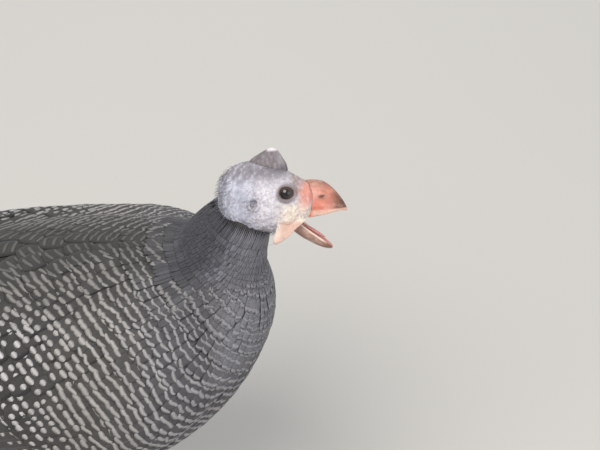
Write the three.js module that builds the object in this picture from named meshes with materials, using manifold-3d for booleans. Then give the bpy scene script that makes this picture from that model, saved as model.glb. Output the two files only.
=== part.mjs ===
// A young helmeted guinea fowl, life size, standing with its neck drawn in, its head cocked and its bill open.
// Millimetres. +X is the way the bird faces, +Y its left, +Z up. The feet stand on Z = 0.
import * as THREE from "three";
import { mergeVertices } from "three/addons/utils/BufferGeometryUtils.js";
import Module from "manifold-3d";

const wasm = await Module();
wasm.setup();

// Driving dimensions
const GAP = 0.3; // kept between pieces that touch
const BREAST_X = 159; // front of the breast
const TORSO_LENGTH = 270;
const RIGHT = -1;
const LEFT = 1;
const SIDES = { right: RIGHT, left: LEFT };

const HEAD_AT = new THREE.Vector3(164.7, 0, 280.7); // middle of the head, level with the eyes
const HEAD_ROLL = 28; // degrees, the right eye turned up
const HEAD_PITCH = 3; // degrees, bill raised
const MOUTH_OPEN = 52; // degrees between the two halves of the bill
const GAPE = { x: 5.2, z: -15.2 }; // corner of the mouth, in the head's frame

const TAIL_AT = new THREE.Vector3(-78, 0, 186);
const TAIL_DROOP = 31; // degrees below level
const TAIL_LENGTH = 128;

const FOOT_SPREAD = 31; // each foot from the middle plane
const FOOT_X = { right: 13, left: 29 };
const SHANK_TOP = 88;
const THIGH_X = 19;
const TOE_RADIUS = 3.6;

const FLIGHT_THICK = 0.75; // flight and tail feathers
const TILE_SLOPE = 0.15; // how steeply a wing feather leans on the one below it

// Torso stations: distance back from the breast, top, bottom and half width
const TORSO_STATIONS = [
  { back: 0, top: 205, bottom: 205, half: 0 },
  { back: 7, top: 230, bottom: 178, half: 27 },
  { back: 21, top: 241, bottom: 151, half: 44 },
  { back: 44, top: 246, bottom: 123, half: 57 },
  { back: 75, top: 248, bottom: 101, half: 66 },
  { back: 110, top: 247, bottom: 95, half: 67.5 },
  { back: 150, top: 242, bottom: 96, half: 65.5 },
  { back: 190, top: 233, bottom: 107, half: 58 },
  { back: 220, top: 223, bottom: 122, half: 47 },
  { back: 245, top: 212, bottom: 141, half: 33 },
  { back: 262, top: 201, bottom: 160, half: 18 },
  { back: 270, top: 182, bottom: 182, half: 0 },
];

// The sheet that a folded wing's feathers lie on: centre height, half height and half width
const WING_STATIONS = [
  { back: 20, middle: 192, tall: 44, half: 44 },
  { back: 44, middle: 185, tall: 60, half: 59.5 },
  { back: 75, middle: 175, tall: 72.5, half: 69 },
  { back: 110, middle: 171, tall: 75, half: 70.5 },
  { back: 150, middle: 170, tall: 72, half: 69 },
  { back: 190, middle: 171, tall: 63, half: 64 },
  { back: 220, middle: 173, tall: 51, half: 56 },
  { back: 245, middle: 175, tall: 42, half: 47 },
  { back: 285, middle: 172, tall: 34, half: 35 },
];

// Head stations in the head's frame: forward of the eyes, top, bottom and half width
const HEAD_STATIONS = [
  { at: -36, top: -5, bottom: -5, half: 0 },
  { at: -34.5, top: 4.6, bottom: -12, half: 7 },
  { at: -31, top: 11, bottom: -16.5, half: 11.2 },
  { at: -25, top: 14.8, bottom: -19.5, half: 14 },
  { at: -18, top: 16.2, bottom: -21, half: 15.4 },
  { at: -10, top: 15.4, bottom: -21.5, half: 15.4 },
  { at: -3, top: 12.6, bottom: -21.5, half: 14.3 },
  { at: 3, top: 9.4, bottom: -21, half: 12.4 },
  { at: 8, top: 6, bottom: -19.4, half: 10.2 },
  { at: 12, top: 4, bottom: -15.5, half: 8.4 },
  { at: 15.5, top: -5, bottom: -5, half: 0 },
];

// Upper bill stations, from inside the forehead to the tip
const BILL_STATIONS = [
  { at: 7, top: -2, bottom: -9, half: 0 },
  { at: 8, top: 4.4, bottom: -14.4, half: 7.6 },
  { at: 13, top: 5.4, bottom: -14, half: 7.2 },
  { at: 18, top: 5, bottom: -13.4, half: 6.5 },
  { at: 22, top: 2.9, bottom: -12.7, half: 5.6 },
  { at: 26, top: -1, bottom: -12, half: 4.3 },
  { at: 29, top: -5, bottom: -11.6, half: 2.9 },
  { at: 31.3, top: -9.2, bottom: -12.2, half: 1.3 },
  { at: 32, top: -12, bottom: -12, half: 0 },
];

// Lower bill stations in its own frame, from the corner of the mouth
const JAW_STATIONS = [
  { at: -3, top: -3, bottom: -3, half: 0 },
  { at: -1.5, top: 0, bottom: -6.2, half: 7.2 },
  { at: 6, top: 0, bottom: -6.6, half: 7 },
  { at: 13, top: 0.2, bottom: -5.6, half: 5.9 },
  { at: 19, top: 0.4, bottom: -4.2, half: 4.3 },
  { at: 23, top: 0.5, bottom: -2.4, half: 2.4 },
  { at: 24.6, top: -0.4, bottom: -0.4, half: 0 },
];

const rad = THREE.MathUtils.degToRad;
const { lerp, smoothstep } = THREE.MathUtils;
const point = (x, y, z) => new THREE.Vector3(x, y, z);

// Curves through stations

// A curve through (keys, values) that doesn't overshoot them.
function through(keys, values) {
  const slopes = keys.slice(1).map((k, i) => (values[i + 1] - values[i]) / (k - keys[i]));
  const lean = keys.map((_, i) => {
    if (i === 0) return slopes[0];
    if (i === keys.length - 1) return slopes[i - 1];
    const [a, b] = [slopes[i - 1], slopes[i]];
    return a * b <= 0 ? 0 : (2 * a * b) / (a + b);
  });
  return (key) => {
    const k = THREE.MathUtils.clamp(key, keys[0], keys[keys.length - 1]);
    let i = 0;
    while (i < keys.length - 2 && k > keys[i + 1]) i += 1;
    const width = keys[i + 1] - keys[i];
    const t = (k - keys[i]) / width;
    const rise = 3 * t * t - 2 * t * t * t;
    return (
      values[i] * (1 - rise) +
      values[i + 1] * rise +
      width * (lean[i] * t * (1 - t) ** 2 - lean[i + 1] * t * t * (1 - t))
    );
  };
}

// Round ends: stations are read by an angle from 0 to pi, which bunches them at both ends.
function roundedProfile(stations, key, names) {
  const [first, last] = [stations[0][key], stations[stations.length - 1][key]];
  const angleOf = (k) => Math.acos(1 - (2 * (k - first)) / (last - first));
  const angles = stations.map((s) => angleOf(s[key]));
  const curves = names.map((name) => through(angles, stations.map((s) => s[name])));
  return {
    place: (angle) => first + ((1 - Math.cos(angle)) / 2) * (last - first),
    at: (angle) => Object.fromEntries(names.map((name, i) => [name, curves[i](angle)])),
    angleOf,
  };
}

// Solids

function solidFrom(geometry) {
  geometry.deleteAttribute("normal");
  geometry.deleteAttribute("uv");
  const merged = mergeVertices(geometry, 1e-4);
  const make = (triVerts) =>
    new wasm.Manifold(
      new wasm.Mesh({
        numProp: 3,
        vertProperties: new Float32Array(merged.attributes.position.array),
        triVerts,
      }),
    );
  const faces = new Uint32Array(merged.index.array);
  const solid = make(faces);
  if (solid.volume() >= 0) return solid;
  for (let i = 0; i < faces.length; i += 3) [faces[i + 1], faces[i + 2]] = [faces[i + 2], faces[i + 1]];
  return make(faces);
}

// A ball whose points are moved to pointAt(along 0..1, angle round): a closed, smooth body.
function ball(around, along, pointAt) {
  const geometry = new THREE.SphereGeometry(1, around, along);
  const { position, uv } = geometry.attributes;
  const poles = { 0: pointAt(0, 0), 1: pointAt(1, 0) };
  for (let i = 0; i < position.count; i += 1) {
    const t = 1 - uv.getY(i);
    const near = Math.round(t * along) / along;
    const step = Math.round(uv.getX(i) * around) % around;
    const p = poles[near] ?? pointAt(near, (step / around) * 2 * Math.PI);
    position.setXYZ(i, p.x, p.y, p.z);
  }
  return solidFrom(geometry);
}

// A ring whose points are moved to pointAt(angle along it, angle round its section).
function torus(along, around, pointAt) {
  const geometry = new THREE.TorusGeometry(1, 0.5, around, along);
  const { position, uv } = geometry.attributes;
  for (let i = 0; i < position.count; i += 1) {
    const step = Math.round(uv.getX(i) * along) % along;
    const turn = Math.round(uv.getY(i) * around) % around;
    const p = pointAt((step / along) * 2 * Math.PI, (turn / around) * 2 * Math.PI);
    position.setXYZ(i, p.x, p.y, p.z);
  }
  return solidFrom(geometry);
}

// A slab between an upper and a lower sheet of points, split into triangles alike on both.
function slab(along, across, upper, lower) {
  const places = [];
  const faces = [];
  const row = across + 1;
  const count = (along + 1) * row;
  for (const sheet of [upper, lower])
    for (let i = 0; i <= along; i += 1)
      for (let j = 0; j <= across; j += 1) {
        const p = sheet(i / along, j / across);
        places.push(p.x, p.y, p.z);
      }
  for (let i = 0; i < along; i += 1)
    for (let j = 0; j < across; j += 1) {
      const a = i * row + j;
      const [b, c, d] = [a + row, a + row + 1, a + 1];
      faces.push(a, b, c, a, c, d);
      faces.push(a + count, c + count, b + count, a + count, d + count, c + count);
    }
  const wall = (a, b) => faces.push(a, b + count, b, a, a + count, b + count);
  for (let i = 0; i < along; i += 1) {
    wall(i * row, (i + 1) * row);
    wall((i + 1) * row + across, i * row + across);
  }
  for (let j = 0; j < across; j += 1) {
    wall(j + 1, j);
    wall(along * row + j, along * row + j + 1);
  }
  const geometry = new THREE.BufferGeometry();
  geometry.setAttribute("position", new THREE.Float32BufferAttribute(places, 3));
  geometry.setIndex(faces);
  return solidFrom(geometry);
}

// A limb of round sections along a smooth path, flat at both ends. stretch widens it fore and aft.
function limb(points, radii, around, steps, stretch = 1) {
  const path = new THREE.CatmullRomCurve3(points, false, "centripetal");
  const keys = radii.map((_, i) => i / (radii.length - 1));
  const radiusAt = through(keys, radii);
  const rows = steps + 2;
  return ball(around, rows, (t, angle) => {
    const row = Math.round(t * rows);
    const s = THREE.MathUtils.clamp((row - 1) / steps, 0, 1);
    const centre = path.getPoint(s);
    if (row === 0 || row === rows) return centre;
    const ahead = path.getTangent(s);
    const side = point(0, 1, 0).cross(ahead).lengthSq() > 0.02 ? point(0, 1, 0) : point(1, 0, 0);
    const front = side.clone().cross(ahead).normalize();
    const across = ahead.clone().cross(front).normalize();
    const r = radiusAt(s);
    return centre
      .add(front.multiplyScalar(r * stretch * Math.cos(angle)))
      .add(across.multiplyScalar(r * Math.sin(angle)));
  });
}

const joined = (pieces) => pieces.reduce((all, piece) => all.add(piece));

// What a node keeps after its joins and cuts: its largest closed body.
function largest(solid) {
  const bodies = solid.decompose();
  return bodies.reduce((best, body) => (body.volume() > best.volume() ? body : best));
}

function geometryOf(solid) {
  const mesh = solid.getMesh();
  const places = new Float32Array(mesh.numVert * 3);
  for (let i = 0; i < mesh.numVert; i += 1)
    places.set(mesh.vertProperties.subarray(i * mesh.numProp, i * mesh.numProp + 3), i * 3);
  const geometry = new THREE.BufferGeometry();
  geometry.setAttribute("position", new THREE.BufferAttribute(places, 3));
  geometry.setIndex(new THREE.BufferAttribute(mesh.triVerts, 1));
  geometry.computeVertexNormals();
  return geometry;
}

// Frames of the parts that are turned as a whole

const bird = new THREE.Group();

function frameAt(position, quaternion) {
  const group = new THREE.Group();
  group.position.copy(position);
  group.quaternion.copy(quaternion);
  bird.add(group);
  group.updateWorldMatrix(true, false);
  return group;
}

const turnAbout = (x, y, z, degrees) =>
  new THREE.Quaternion().setFromAxisAngle(point(x, y, z), rad(degrees));
const headFrame = frameAt(
  HEAD_AT,
  turnAbout(0, 1, 0, -HEAD_PITCH).multiply(turnAbout(1, 0, 0, -HEAD_ROLL)),
);
const inHead = (x, y, z) => point(x, y, z).applyMatrix4(headFrame.matrixWorld);
const jawTurn = turnAbout(0, 1, 0, MOUTH_OPEN - 11);
const inJaw = (x, y, z) => {
  const p = point(x, y, z).applyQuaternion(jawTurn);
  return inHead(p.x + GAPE.x, p.y, p.z + GAPE.z);
};
const tailFrame = frameAt(TAIL_AT, turnAbout(0, 1, 0, 180 - TAIL_DROOP).multiply(turnAbout(1, 0, 0, 180)));
const inTail = (along, aside, up) => point(along, aside, up).applyMatrix4(tailFrame.matrixWorld);

// Hangs a solid, made in the bird's frame, in a group as one named mesh.
function hang(group, name, solid, material) {
  const geometry = geometryOf(solid);
  geometry.applyMatrix4(group.matrixWorld.clone().invert());
  const mesh = new THREE.Mesh(geometry, material);
  mesh.name = name;
  group.add(mesh);
}

const finish = (color, roughness) => new THREE.MeshStandardMaterial({ color, roughness, metalness: 0 });
const materials = {
  plumage: finish("#757273", 0.8),
  flight: finish("#5f5c5b", 0.7),
  faceSkin: finish("#c7c1c9", 0.6),
  casque: finish("#928d91", 0.65),
  bill: finish("#d0a194", 0.45),
  mouth: finish("#c59d95", 0.35),
  wattle: finish("#d7bbad", 0.5),
  eye: finish("#211612", 0.1),
  leg: finish("#ad7f6b", 0.6),
  claw: finish("#5a4638", 0.4),
};

// Torso

const torsoProfile = roundedProfile(TORSO_STATIONS, "back", ["top", "bottom", "half"]);

function torsoPoint(angleAlong, angleRound, grown) {
  const { top, bottom, half } = torsoProfile.at(angleAlong);
  const middle = lerp(bottom, top, 0.5);
  const tall = (top - bottom) / 2;
  const x = BREAST_X - torsoProfile.place(angleAlong) + grown * Math.cos(angleAlong);
  const swell = grown * Math.sin(angleAlong);
  return point(
    x,
    (half + swell) * Math.sin(angleRound),
    middle + (tall + swell) * Math.cos(angleRound),
  );
}

const makeTorso = (grown) => ball(28, 20, (t, angle) => torsoPoint(t * Math.PI, angle, grown));
const torsoRoom = makeTorso(GAP);

// Head, bill and what grows on them

const headProfile = roundedProfile(HEAD_STATIONS, "at", ["top", "bottom", "half"]);

// Cheeks are widest a little below the eyes.
function headPoint(angleAlong, angleRound, grown) {
  const { top, bottom, half } = headProfile.at(angleAlong);
  const swell = grown * Math.sin(angleAlong);
  const narrower = 1 - 0.1 * Math.cos(angleRound);
  return inHead(
    headProfile.place(angleAlong) - grown * Math.cos(angleAlong),
    (half + swell) * Math.sin(angleRound) * narrower,
    (top + bottom) / 2 + ((top - bottom) / 2 + swell) * Math.cos(angleRound),
  );
}

// How far out the side of the head is, forward of the eyes and above them
function cheekAt(x, z) {
  const { top, bottom, half } = headProfile.at(headProfile.angleOf(x));
  const rise = THREE.MathUtils.clamp((2 * z - top - bottom) / (top - bottom), -1, 1);
  return half * Math.sqrt(1 - rise * rise) * (1 - 0.1 * rise);
}

const EYE = { x: 0.4, y: 9.5, z: 0.4, radius: 4.7, lidWide: 4.6, lidTall: 4.1, lidSection: 1.15 };
const EAR = { x: -16.5, z: -4, radius: 2.2, rimWide: 2.9, rimTall: 3.3, rimSection: 0.9 };

const eyeAt = (side) => ({ x: EYE.x, y: side * EYE.y, z: EYE.z });
const earAt = (side) => ({ x: EAR.x, y: side * cheekAt(EAR.x, EAR.z), z: EAR.z });

const globe = (centre, radius, around = 14) =>
  ball(around, Math.round(around * 0.6), (t, angle) => {
    const ring = radius * Math.sin(t * Math.PI);
    return inHead(
      centre.x + ring * Math.cos(angle),
      centre.y + radius * Math.cos(t * Math.PI),
      centre.z + ring * Math.sin(angle),
    );
  });

// A ring of flesh lying on the cheek, such as the lids or the rim of the ear
const fleshRing = (side, centre, wide, tall, section) =>
  torus(14, 6, (along, round) =>
    inHead(
      centre.x + (wide + section * Math.cos(round)) * Math.cos(along),
      side *
        (cheekAt(centre.x + wide * Math.cos(along), centre.z + tall * Math.sin(along)) +
          section * Math.sin(round)),
      centre.z + (tall + section * Math.cos(round)) * Math.sin(along),
    ),
  );

// A mouth-shaped wedge between the two halves of the bill, open to the front.
function mouthWedge() {
  const reach = 34;
  const half = 15;
  const low = rad(MOUTH_OPEN - 11);
  const corner = { x: GAPE.x - 1.6, z: GAPE.z + 0.9 };
  return slab(
    1,
    1,
    (i, j) => inHead(corner.x + i * reach, (j * 2 - 1) * half, corner.z + 0.4 + i * reach * 0.07),
    (i, j) =>
      inHead(corner.x + i * reach * Math.cos(low), (j * 2 - 1) * half, corner.z - i * reach * Math.sin(low)),
  );
}

function makeHead() {
  let head = ball(24, 18, (t, angle) => headPoint(t * Math.PI, angle, 0));
  for (const side of [RIGHT, LEFT])
    head = head
      .add(fleshRing(side, EYE, EYE.lidWide, EYE.lidTall, EYE.lidSection))
      .add(fleshRing(side, EAR, EAR.rimWide, EAR.rimTall, EAR.rimSection))
      .subtract(globe(eyeAt(side), EYE.radius + GAP))
      .subtract(globe(earAt(side), EAR.radius, 10));
  return head.subtract(mouthWedge());
}

const headRoom = ball(24, 18, (t, angle) => headPoint(t * Math.PI, angle, GAP));

const billProfile = roundedProfile(BILL_STATIONS, "at", ["top", "bottom", "half"]);

// The bill is arched above and hollow along the palate.
function makeUpperBill() {
  const bill = ball(16, 12, (t, angle) => {
    const { top, bottom, half } = billProfile.at(t * Math.PI);
    const rise = Math.cos(angle);
    const wide = half * Math.sin(angle) * (rise > 0 ? 1 - 0.25 * rise : 1);
    const middle = lerp(bottom, top, 0.3);
    const palate = bottom + 1.6 * Math.cos(angle) ** 2 * Math.sin(t * Math.PI);
    return inHead(
      billProfile.place(t * Math.PI),
      wide,
      rise > 0 ? middle + (top - middle) * rise : lerp(middle, palate, Math.min(1, -rise * 3)),
    );
  });
  const nostrils = [RIGHT, LEFT].map((side) =>
    ball(7, 5, (t, angle) => {
      const ring = Math.sin(t * Math.PI);
      return inHead(
        19 + 2.4 * Math.cos(t * Math.PI),
        side * 6.2 + 1.5 * ring * Math.cos(angle),
        -3.4 - 0.8 * Math.cos(t * Math.PI) + 0.8 * ring * Math.sin(angle),
      );
    }),
  );
  return nostrils.reduce((all, hole) => all.subtract(hole), bill).subtract(headRoom);
}

const jawProfile = roundedProfile(JAW_STATIONS, "at", ["top", "bottom", "half"]);
const TROUGH = 1.9;

const makeLowerBill = () =>
  ball(14, 11, (t, angle) => {
    const { top, bottom, half } = jawProfile.at(t * Math.PI);
    const rise = Math.cos(angle);
    const edge = Math.min(1, Math.abs(Math.sin(angle)) * 1.15);
    const hollow = TROUGH * (1 - edge ** 2) * Math.sin(t * Math.PI);
    return inJaw(
      jawProfile.place(t * Math.PI),
      half * Math.sin(angle),
      rise > 0 ? top - hollow : top + (bottom - top) * -rise,
    );
  }).subtract(headRoom);

const TONGUE = { from: 4.4, length: 14, half: 2.9, thick: 1.7 };

const makeTongue = () =>
  ball(10, 8, (t, angle) => {
    const x = TONGUE.from + TONGUE.length * t;
    const wide = TONGUE.half * Math.sin(t * Math.PI) ** 0.5 * (1 - 0.45 * t);
    const thick = (TONGUE.thick / 2) * Math.sin(t * Math.PI) ** 0.5;
    const lie = -TROUGH + GAP + 1.35 + 1.6 * t;
    return inJaw(x, wide * Math.sin(angle), lie + thick * Math.cos(angle));
  }).subtract(headRoom);

// The casque is a low, flattened horn on the crown, with its rear slope the longer.
const CASQUE_STATIONS = [
  { up: 7, at: -10.5, long: 12.4, half: 6.4 },
  { up: 14, at: -10.2, long: 10.8, half: 5.4 },
  { up: 17, at: -9.2, long: 8.2, half: 4 },
  { up: 19.8, at: -7.6, long: 5, half: 2.7 },
  { up: 21.8, at: -6.4, long: 2.4, half: 1.7 },
];

function makeCasque() {
  const column = (name) =>
    through(
      CASQUE_STATIONS.map((s) => s.up),
      CASQUE_STATIONS.map((s) => s[name]),
    );
  const [at, long, half] = ["at", "long", "half"].map(column);
  const [low, high] = [CASQUE_STATIONS[0].up, CASQUE_STATIONS[CASQUE_STATIONS.length - 1].up];
  const rows = 10;
  return ball(16, rows, (t, angle) => {
    const row = Math.round(t * rows);
    const up = lerp(low, high, THREE.MathUtils.clamp((row - 1) / (rows - 2), 0, 1));
    const open = row === 0 || row === rows ? 0 : 1;
    const dome = row === rows ? 0.8 : 0;
    return inHead(
      at(up) + open * long(up) * Math.cos(angle),
      open * half(up) * Math.sin(angle),
      up + dome,
    );
  }).subtract(headRoom);
}

// A wattle is a cupped flap that hangs from the corner of the mouth and narrows to its tip.
const WATTLE = { root: { x: 1.4, z: -13 }, tip: { x: -7.6, z: -26 }, halfRoot: 8.2, thick: 1.7 };

const makeWattle = (side) =>
  slab(
    7,
    6,
    (s, c) => wattlePoint(side, s, c, 0.5),
    (s, c) => wattlePoint(side, s, c, -0.5),
  ).subtract(headRoom);

function wattlePoint(side, s, c, face) {
  const across = c * 2 - 1;
  const half = WATTLE.halfRoot * (1 - s) ** 0.8 + 0.8;
  const cup = 2.2 * across * across * (1 - s) - 1.1;
  const thick = WATTLE.thick * (1 - 0.55 * across * across) * (1 - 0.35 * s);
  const outward = 9.2 + 4.8 * smoothstep(s, 0, 0.7) + cup + face * thick;
  return inHead(
    lerp(WATTLE.root.x, WATTLE.tip.x, s) + across * half,
    side * outward,
    lerp(WATTLE.root.z, WATTLE.tip.z, s) - 1.2 * across * (1 - s),
  );
}

// Neck: short and drawn in, flaring into the shoulders

const NECK = {
  path: [point(122, 0, 214), point(128, 0, 234), point(133.5, -1, 249), point(140.5, -3, 263), point(147, -5, 275)],
  radii: [32, 26, 21.4, 17, 13],
};

const makeNeck = () =>
  [RIGHT, LEFT].reduce(
    (neck, side) => neck.subtract(globe(earAt(side), EAR.rimTall + EAR.rimSection + 1)),
    limb(NECK.path, NECK.radii, 18, 10, 1.06).subtract(torsoRoom).subtract(headRoom),
  );

// Wings

const wingCurves = Object.fromEntries(
  ["middle", "tall", "half"].map((name) => [
    name,
    through(
      WING_STATIONS.map((s) => s.back),
      WING_STATIONS.map((s) => s[name]),
    ),
  ]),
);

// A point over the wing's sheet: back from the breast, degrees round from the top, and how far out.
function wingPoint(side, back, degrees, out) {
  const angle = rad(degrees);
  return point(
    BREAST_X - back,
    side * (wingCurves.half(back) + out) * Math.sin(angle),
    wingCurves.middle(back) + (wingCurves.tall(back) + out) * Math.cos(angle),
  );
}

// The fleshy front of the wing. Its outer side steps down to the rear edge, so that each tier comes out of it.
const WING_CORE = {
  front: [52, 26, 25, 56], // distance back of the front edge, from its top to its bottom
  rear: [182, 170, 148, 126],
  top: [40, 27],
  bottom: [118, 108],
  along: [0, 0.1, 0.3, 0.62, 0.74, 1],
  thick: [1, 5.6, 9.4, 9.2, 6, 5.4],
  edge: 1,
  sunk: 3,
};
const coreThick = through(WING_CORE.along, WING_CORE.thick);
const quarters = [0, 1 / 3, 2 / 3, 1];
const [coreFront, coreRear] = [WING_CORE.front, WING_CORE.rear].map((edge) => through(quarters, edge));

function wingCorePoint(side, s, c, outer) {
  const degrees = lerp(lerp(...WING_CORE.top, s), lerp(...WING_CORE.bottom, s), c);
  const full = smoothstep(c, 0, 0.24) * smoothstep(1 - c, 0, 0.2);
  const out = outer ? lerp(WING_CORE.edge, coreThick(s), full) : -WING_CORE.sunk;
  return wingPoint(side, lerp(coreFront(c), coreRear(c), s), degrees, out);
}

// One feather of a folded wing, its lower edge lying over the next feather down.
function wingVane(side, vane) {
  const { rootBack, tipBack, rootAngle, tipAngle, half, level, rootLevel } = vane;
  const place = (s, c, face) => {
    const back = lerp(rootBack, tipBack, s);
    const round = s > 0.8 ? Math.sqrt(Math.max(0, 1 - ((s - 0.8) / 0.215) ** 2)) : 1;
    const offset = (c * 2 - 1) * half * lerp(0.62, 1, smoothstep(s, 0, 0.35)) * round;
    const degrees = lerp(rootAngle, tipAngle, s) + THREE.MathUtils.radToDeg(offset / wingCurves.half(back));
    const thick = FLIGHT_THICK * lerp(1, 0.75, s);
    const lie = lerp(rootLevel, level, smoothstep(s, 0, 0.3));
    return wingPoint(side, back, degrees, lie + TILE_SLOPE * offset + face * thick);
  };
  return slab(
    5,
    1,
    (s, c) => place(s, c, 0.5),
    (s, c) => place(s, c, -0.5),
  );
}

// A tier of feathers from the top of the wing to its lower edge
const wingTier = ({ count, rootBack, tipBack, rootAngle, tipAngle, ...rest }) =>
  Array.from({ length: count }, (_, i) => {
    const t = i / (count - 1);
    return {
      rootBack: lerp(...rootBack, t),
      tipBack: lerp(...tipBack, t) + (i % 2) * 2.4,
      rootAngle: lerp(...rootAngle, t),
      tipAngle: lerp(...tipAngle, t),
      ...rest,
    };
  });

const PRIMARIES = {
  count: 5,
  rootBack: [138, 118],
  tipBack: [277, 240],
  rootAngle: [84, 106],
  tipAngle: [68, 100],
  half: 5.6,
  level: 1.6,
  rootLevel: 1.6,
};
const SECONDARIES = {
  count: 8,
  rootBack: [154, 106],
  tipBack: [262, 206],
  rootAngle: [37, 104],
  tipAngle: [44, 108],
  half: 8.2,
  level: 4.6,
  rootLevel: 3.4,
};
const GREATER_COVERTS = {
  count: 7,
  rootBack: [112, 82],
  tipBack: [208, 152],
  rootAngle: [36, 102],
  tipAngle: [37, 109],
  half: 9,
  level: 7.8,
  rootLevel: 5.2,
};

const wingCore = (side) =>
  slab(
    10,
    8,
    (s, c) => wingCorePoint(side, s, c, true),
    (s, c) => wingCorePoint(side, s, c, false),
  );

const makeWing = (side) =>
  joined([
    wingCore(side),
    ...[PRIMARIES, SECONDARIES, GREATER_COVERTS].flatMap((tier) =>
      wingTier(tier).map((vane) => wingVane(side, vane)),
    ),
  ]).subtract(torsoRoom);

// Tail: thirteen feathers fanned like a roof, longest in the middle, under a tier of coverts

const TAIL_FAN = { each: 6, spread: 2.2, rootStep: 2.3, half: 9.6, level: 0, drop: 1.15, shorter: 0.02 };
const COVERT_FAN = { each: 3, spread: 3.6, rootStep: 5, half: 10, level: 3, drop: 0.9, shorter: 0.04 };
const COVERT_REACH = 0.72; // of the tail's length

function tailVane(index, fan, full) {
  const lean = rad(index * fan.spread);
  const length = full * (1 - fan.shorter * Math.abs(index));
  const underFirst = index < 0 || index > 1 ? 1 : 0; // the left middle feather lies under the right one
  const level = fan.level - fan.drop * (Math.abs(index) + underFirst);
  const place = (s, c, face) => {
    const round = s > 0.82 ? Math.sqrt(Math.max(0, 1 - ((s - 0.82) / 0.195) ** 2)) : 1;
    const wide = fan.half * lerp(0.55, 1, smoothstep(s, 0, 0.6)) * round;
    const aside = index * fan.rootStep + length * s * Math.sin(lean) + (c * 2 - 1) * wide;
    const sag = 5 * (length * s / full) ** 2;
    return inTail(6 + length * s, aside, level - sag + face * FLIGHT_THICK * lerp(1, 0.75, s));
  };
  return slab(
    5,
    1,
    (s, c) => place(s, c, 0.5),
    (s, c) => place(s, c, -0.5),
  );
}

function makeTail() {
  const fanned = (fan, full) =>
    Array.from({ length: 2 * fan.each + 1 }, (_, i) => tailVane(i - fan.each, fan, full));
  const full = TAIL_LENGTH - 6;
  const feathers = [...fanned(TAIL_FAN, full), ...fanned(COVERT_FAN, full * COVERT_REACH)];
  const rump = limb(
    [inTail(-14, 0, -8), inTail(20, 0, -6), inTail(48, 0, -6), inTail(74, 0, -8)],
    [15, 13.5, 8.5, 2.4],
    16,
    6,
  );
  return joined([rump, ...feathers]).subtract(torsoRoom);
}

// Legs

const hockAt = (side, name) => point(FOOT_X[name] - 21, side * (FOOT_SPREAD + 1), SHANK_TOP);
const ankleAt = (side, name) => point(FOOT_X[name] - 1, side * FOOT_SPREAD, 10.5);

function makeThigh(side, name) {
  const hock = hockAt(side, name);
  const top = point(THIGH_X, side * (FOOT_SPREAD + 1), 142);
  const knee = top.clone().lerp(hock, 0.5).add(point(5, 0, 0));
  return limb([top, knee, hock], [27, 19, 7.4], 16, 8, 1.18)
    .subtract(torsoRoom)
    .subtract(makeShank(side, name, GAP));
}

// The shank's front carries a row of plates, each raised at its lower edge.
const SCUTES = 12;

function makeShank(side, name, grown = 0) {
  const [hock, ankle] = [hockAt(side, name), ankleAt(side, name)];
  const along = ankle.clone().sub(hock);
  const length = along.length();
  along.normalize();
  const across = point(0, 1, 0);
  const front = along.clone().cross(across).normalize();
  const waist = through([0, 0.1, 0.25, 0.8, 1], [6.2, 6, 4.5, 4.2, 5]);
  const rows = SCUTES * 2 + 3;
  return ball(9, rows, (t, angle) => {
    const row = Math.round(t * rows);
    const step = THREE.MathUtils.clamp(row - 1, 0, rows - 2);
    const s = THREE.MathUtils.clamp(
      (Math.floor(step / 2) + (step % 2 ? 0.92 : 0)) / (SCUTES + 0.5),
      0,
      1,
    );
    const centre = hock.clone().addScaledVector(along, s * (length + 2 * grown) - grown);
    if (row === 0 || row === rows) return centre;
    const raised = step % 2 && s < 0.98 ? 0.5 * Math.max(0, Math.cos(angle)) : 0;
    const r = waist(s) + raised + grown;
    return centre
      .addScaledVector(front, r * 1.06 * Math.cos(angle))
      .addScaledVector(across, r * 0.9 * Math.sin(angle));
  });
}

const TOES = [
  { name: "middle", turn: 0, length: 41, radius: 1 },
  { name: "inner", turn: -33, length: 30, radius: 0.92 },
  { name: "outer", turn: 33, length: 31, radius: 0.92 },
  { name: "hind", turn: 172, length: 13, radius: 0.8 },
];
const CLAW_LENGTH = 8.5;

// Each toe swells at its pads and lies flat on the floor.
function toePath(side, name, toe) {
  const ankle = ankleAt(side, name);
  const heading = rad(toe.turn * side);
  const ahead = point(Math.cos(heading), Math.sin(heading), 0);
  const hind = toe.name === "hind";
  const at = (d, z) => point(ankle.x, ankle.y, 0).addScaledVector(ahead, d).setZ(z);
  const r = TOE_RADIUS * toe.radius;
  const rest = r * 0.78;
  return {
    ahead,
    points: hind
      ? [at(0, 9), at(5, 6.4), at(toe.length * 0.7, rest + 0.6), at(toe.length, rest)]
      : [at(0, 8.4), at(6, rest + 1.8), at(toe.length * 0.45, rest), at(toe.length, rest - 0.2)],
    radius: r,
    tip: at(toe.length, rest - 0.2),
  };
}

const floorBlock = () => {
  const block = new THREE.BoxGeometry(400, 400, 40);
  block.translate(0, 0, -20);
  return solidFrom(block);
};

function makeFoot(side, name) {
  const toes = TOES.map((toe) => {
    const { points, radius } = toePath(side, name, toe);
    const pads = [1.25, 0.95, 1.08, 0.86, 0.98, 0.62].map((k) => k * radius);
    return limb(points, pads, 8, 8);
  });
  const [hock, ankle] = [hockAt(side, name), ankleAt(side, name)];
  const along = ankle.clone().sub(hock).normalize();
  const heel = limb(
    [ankle.clone().addScaledVector(along, 0.1), ankle.clone().addScaledVector(along, 3), ankle.clone().addScaledVector(along, 6)],
    [5, 5.4, 4.6],
    9,
    3,
  );
  return joined([heel, ...toes]).subtract(floorBlock()).subtract(makeShank(side, name, GAP));
}

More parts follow.
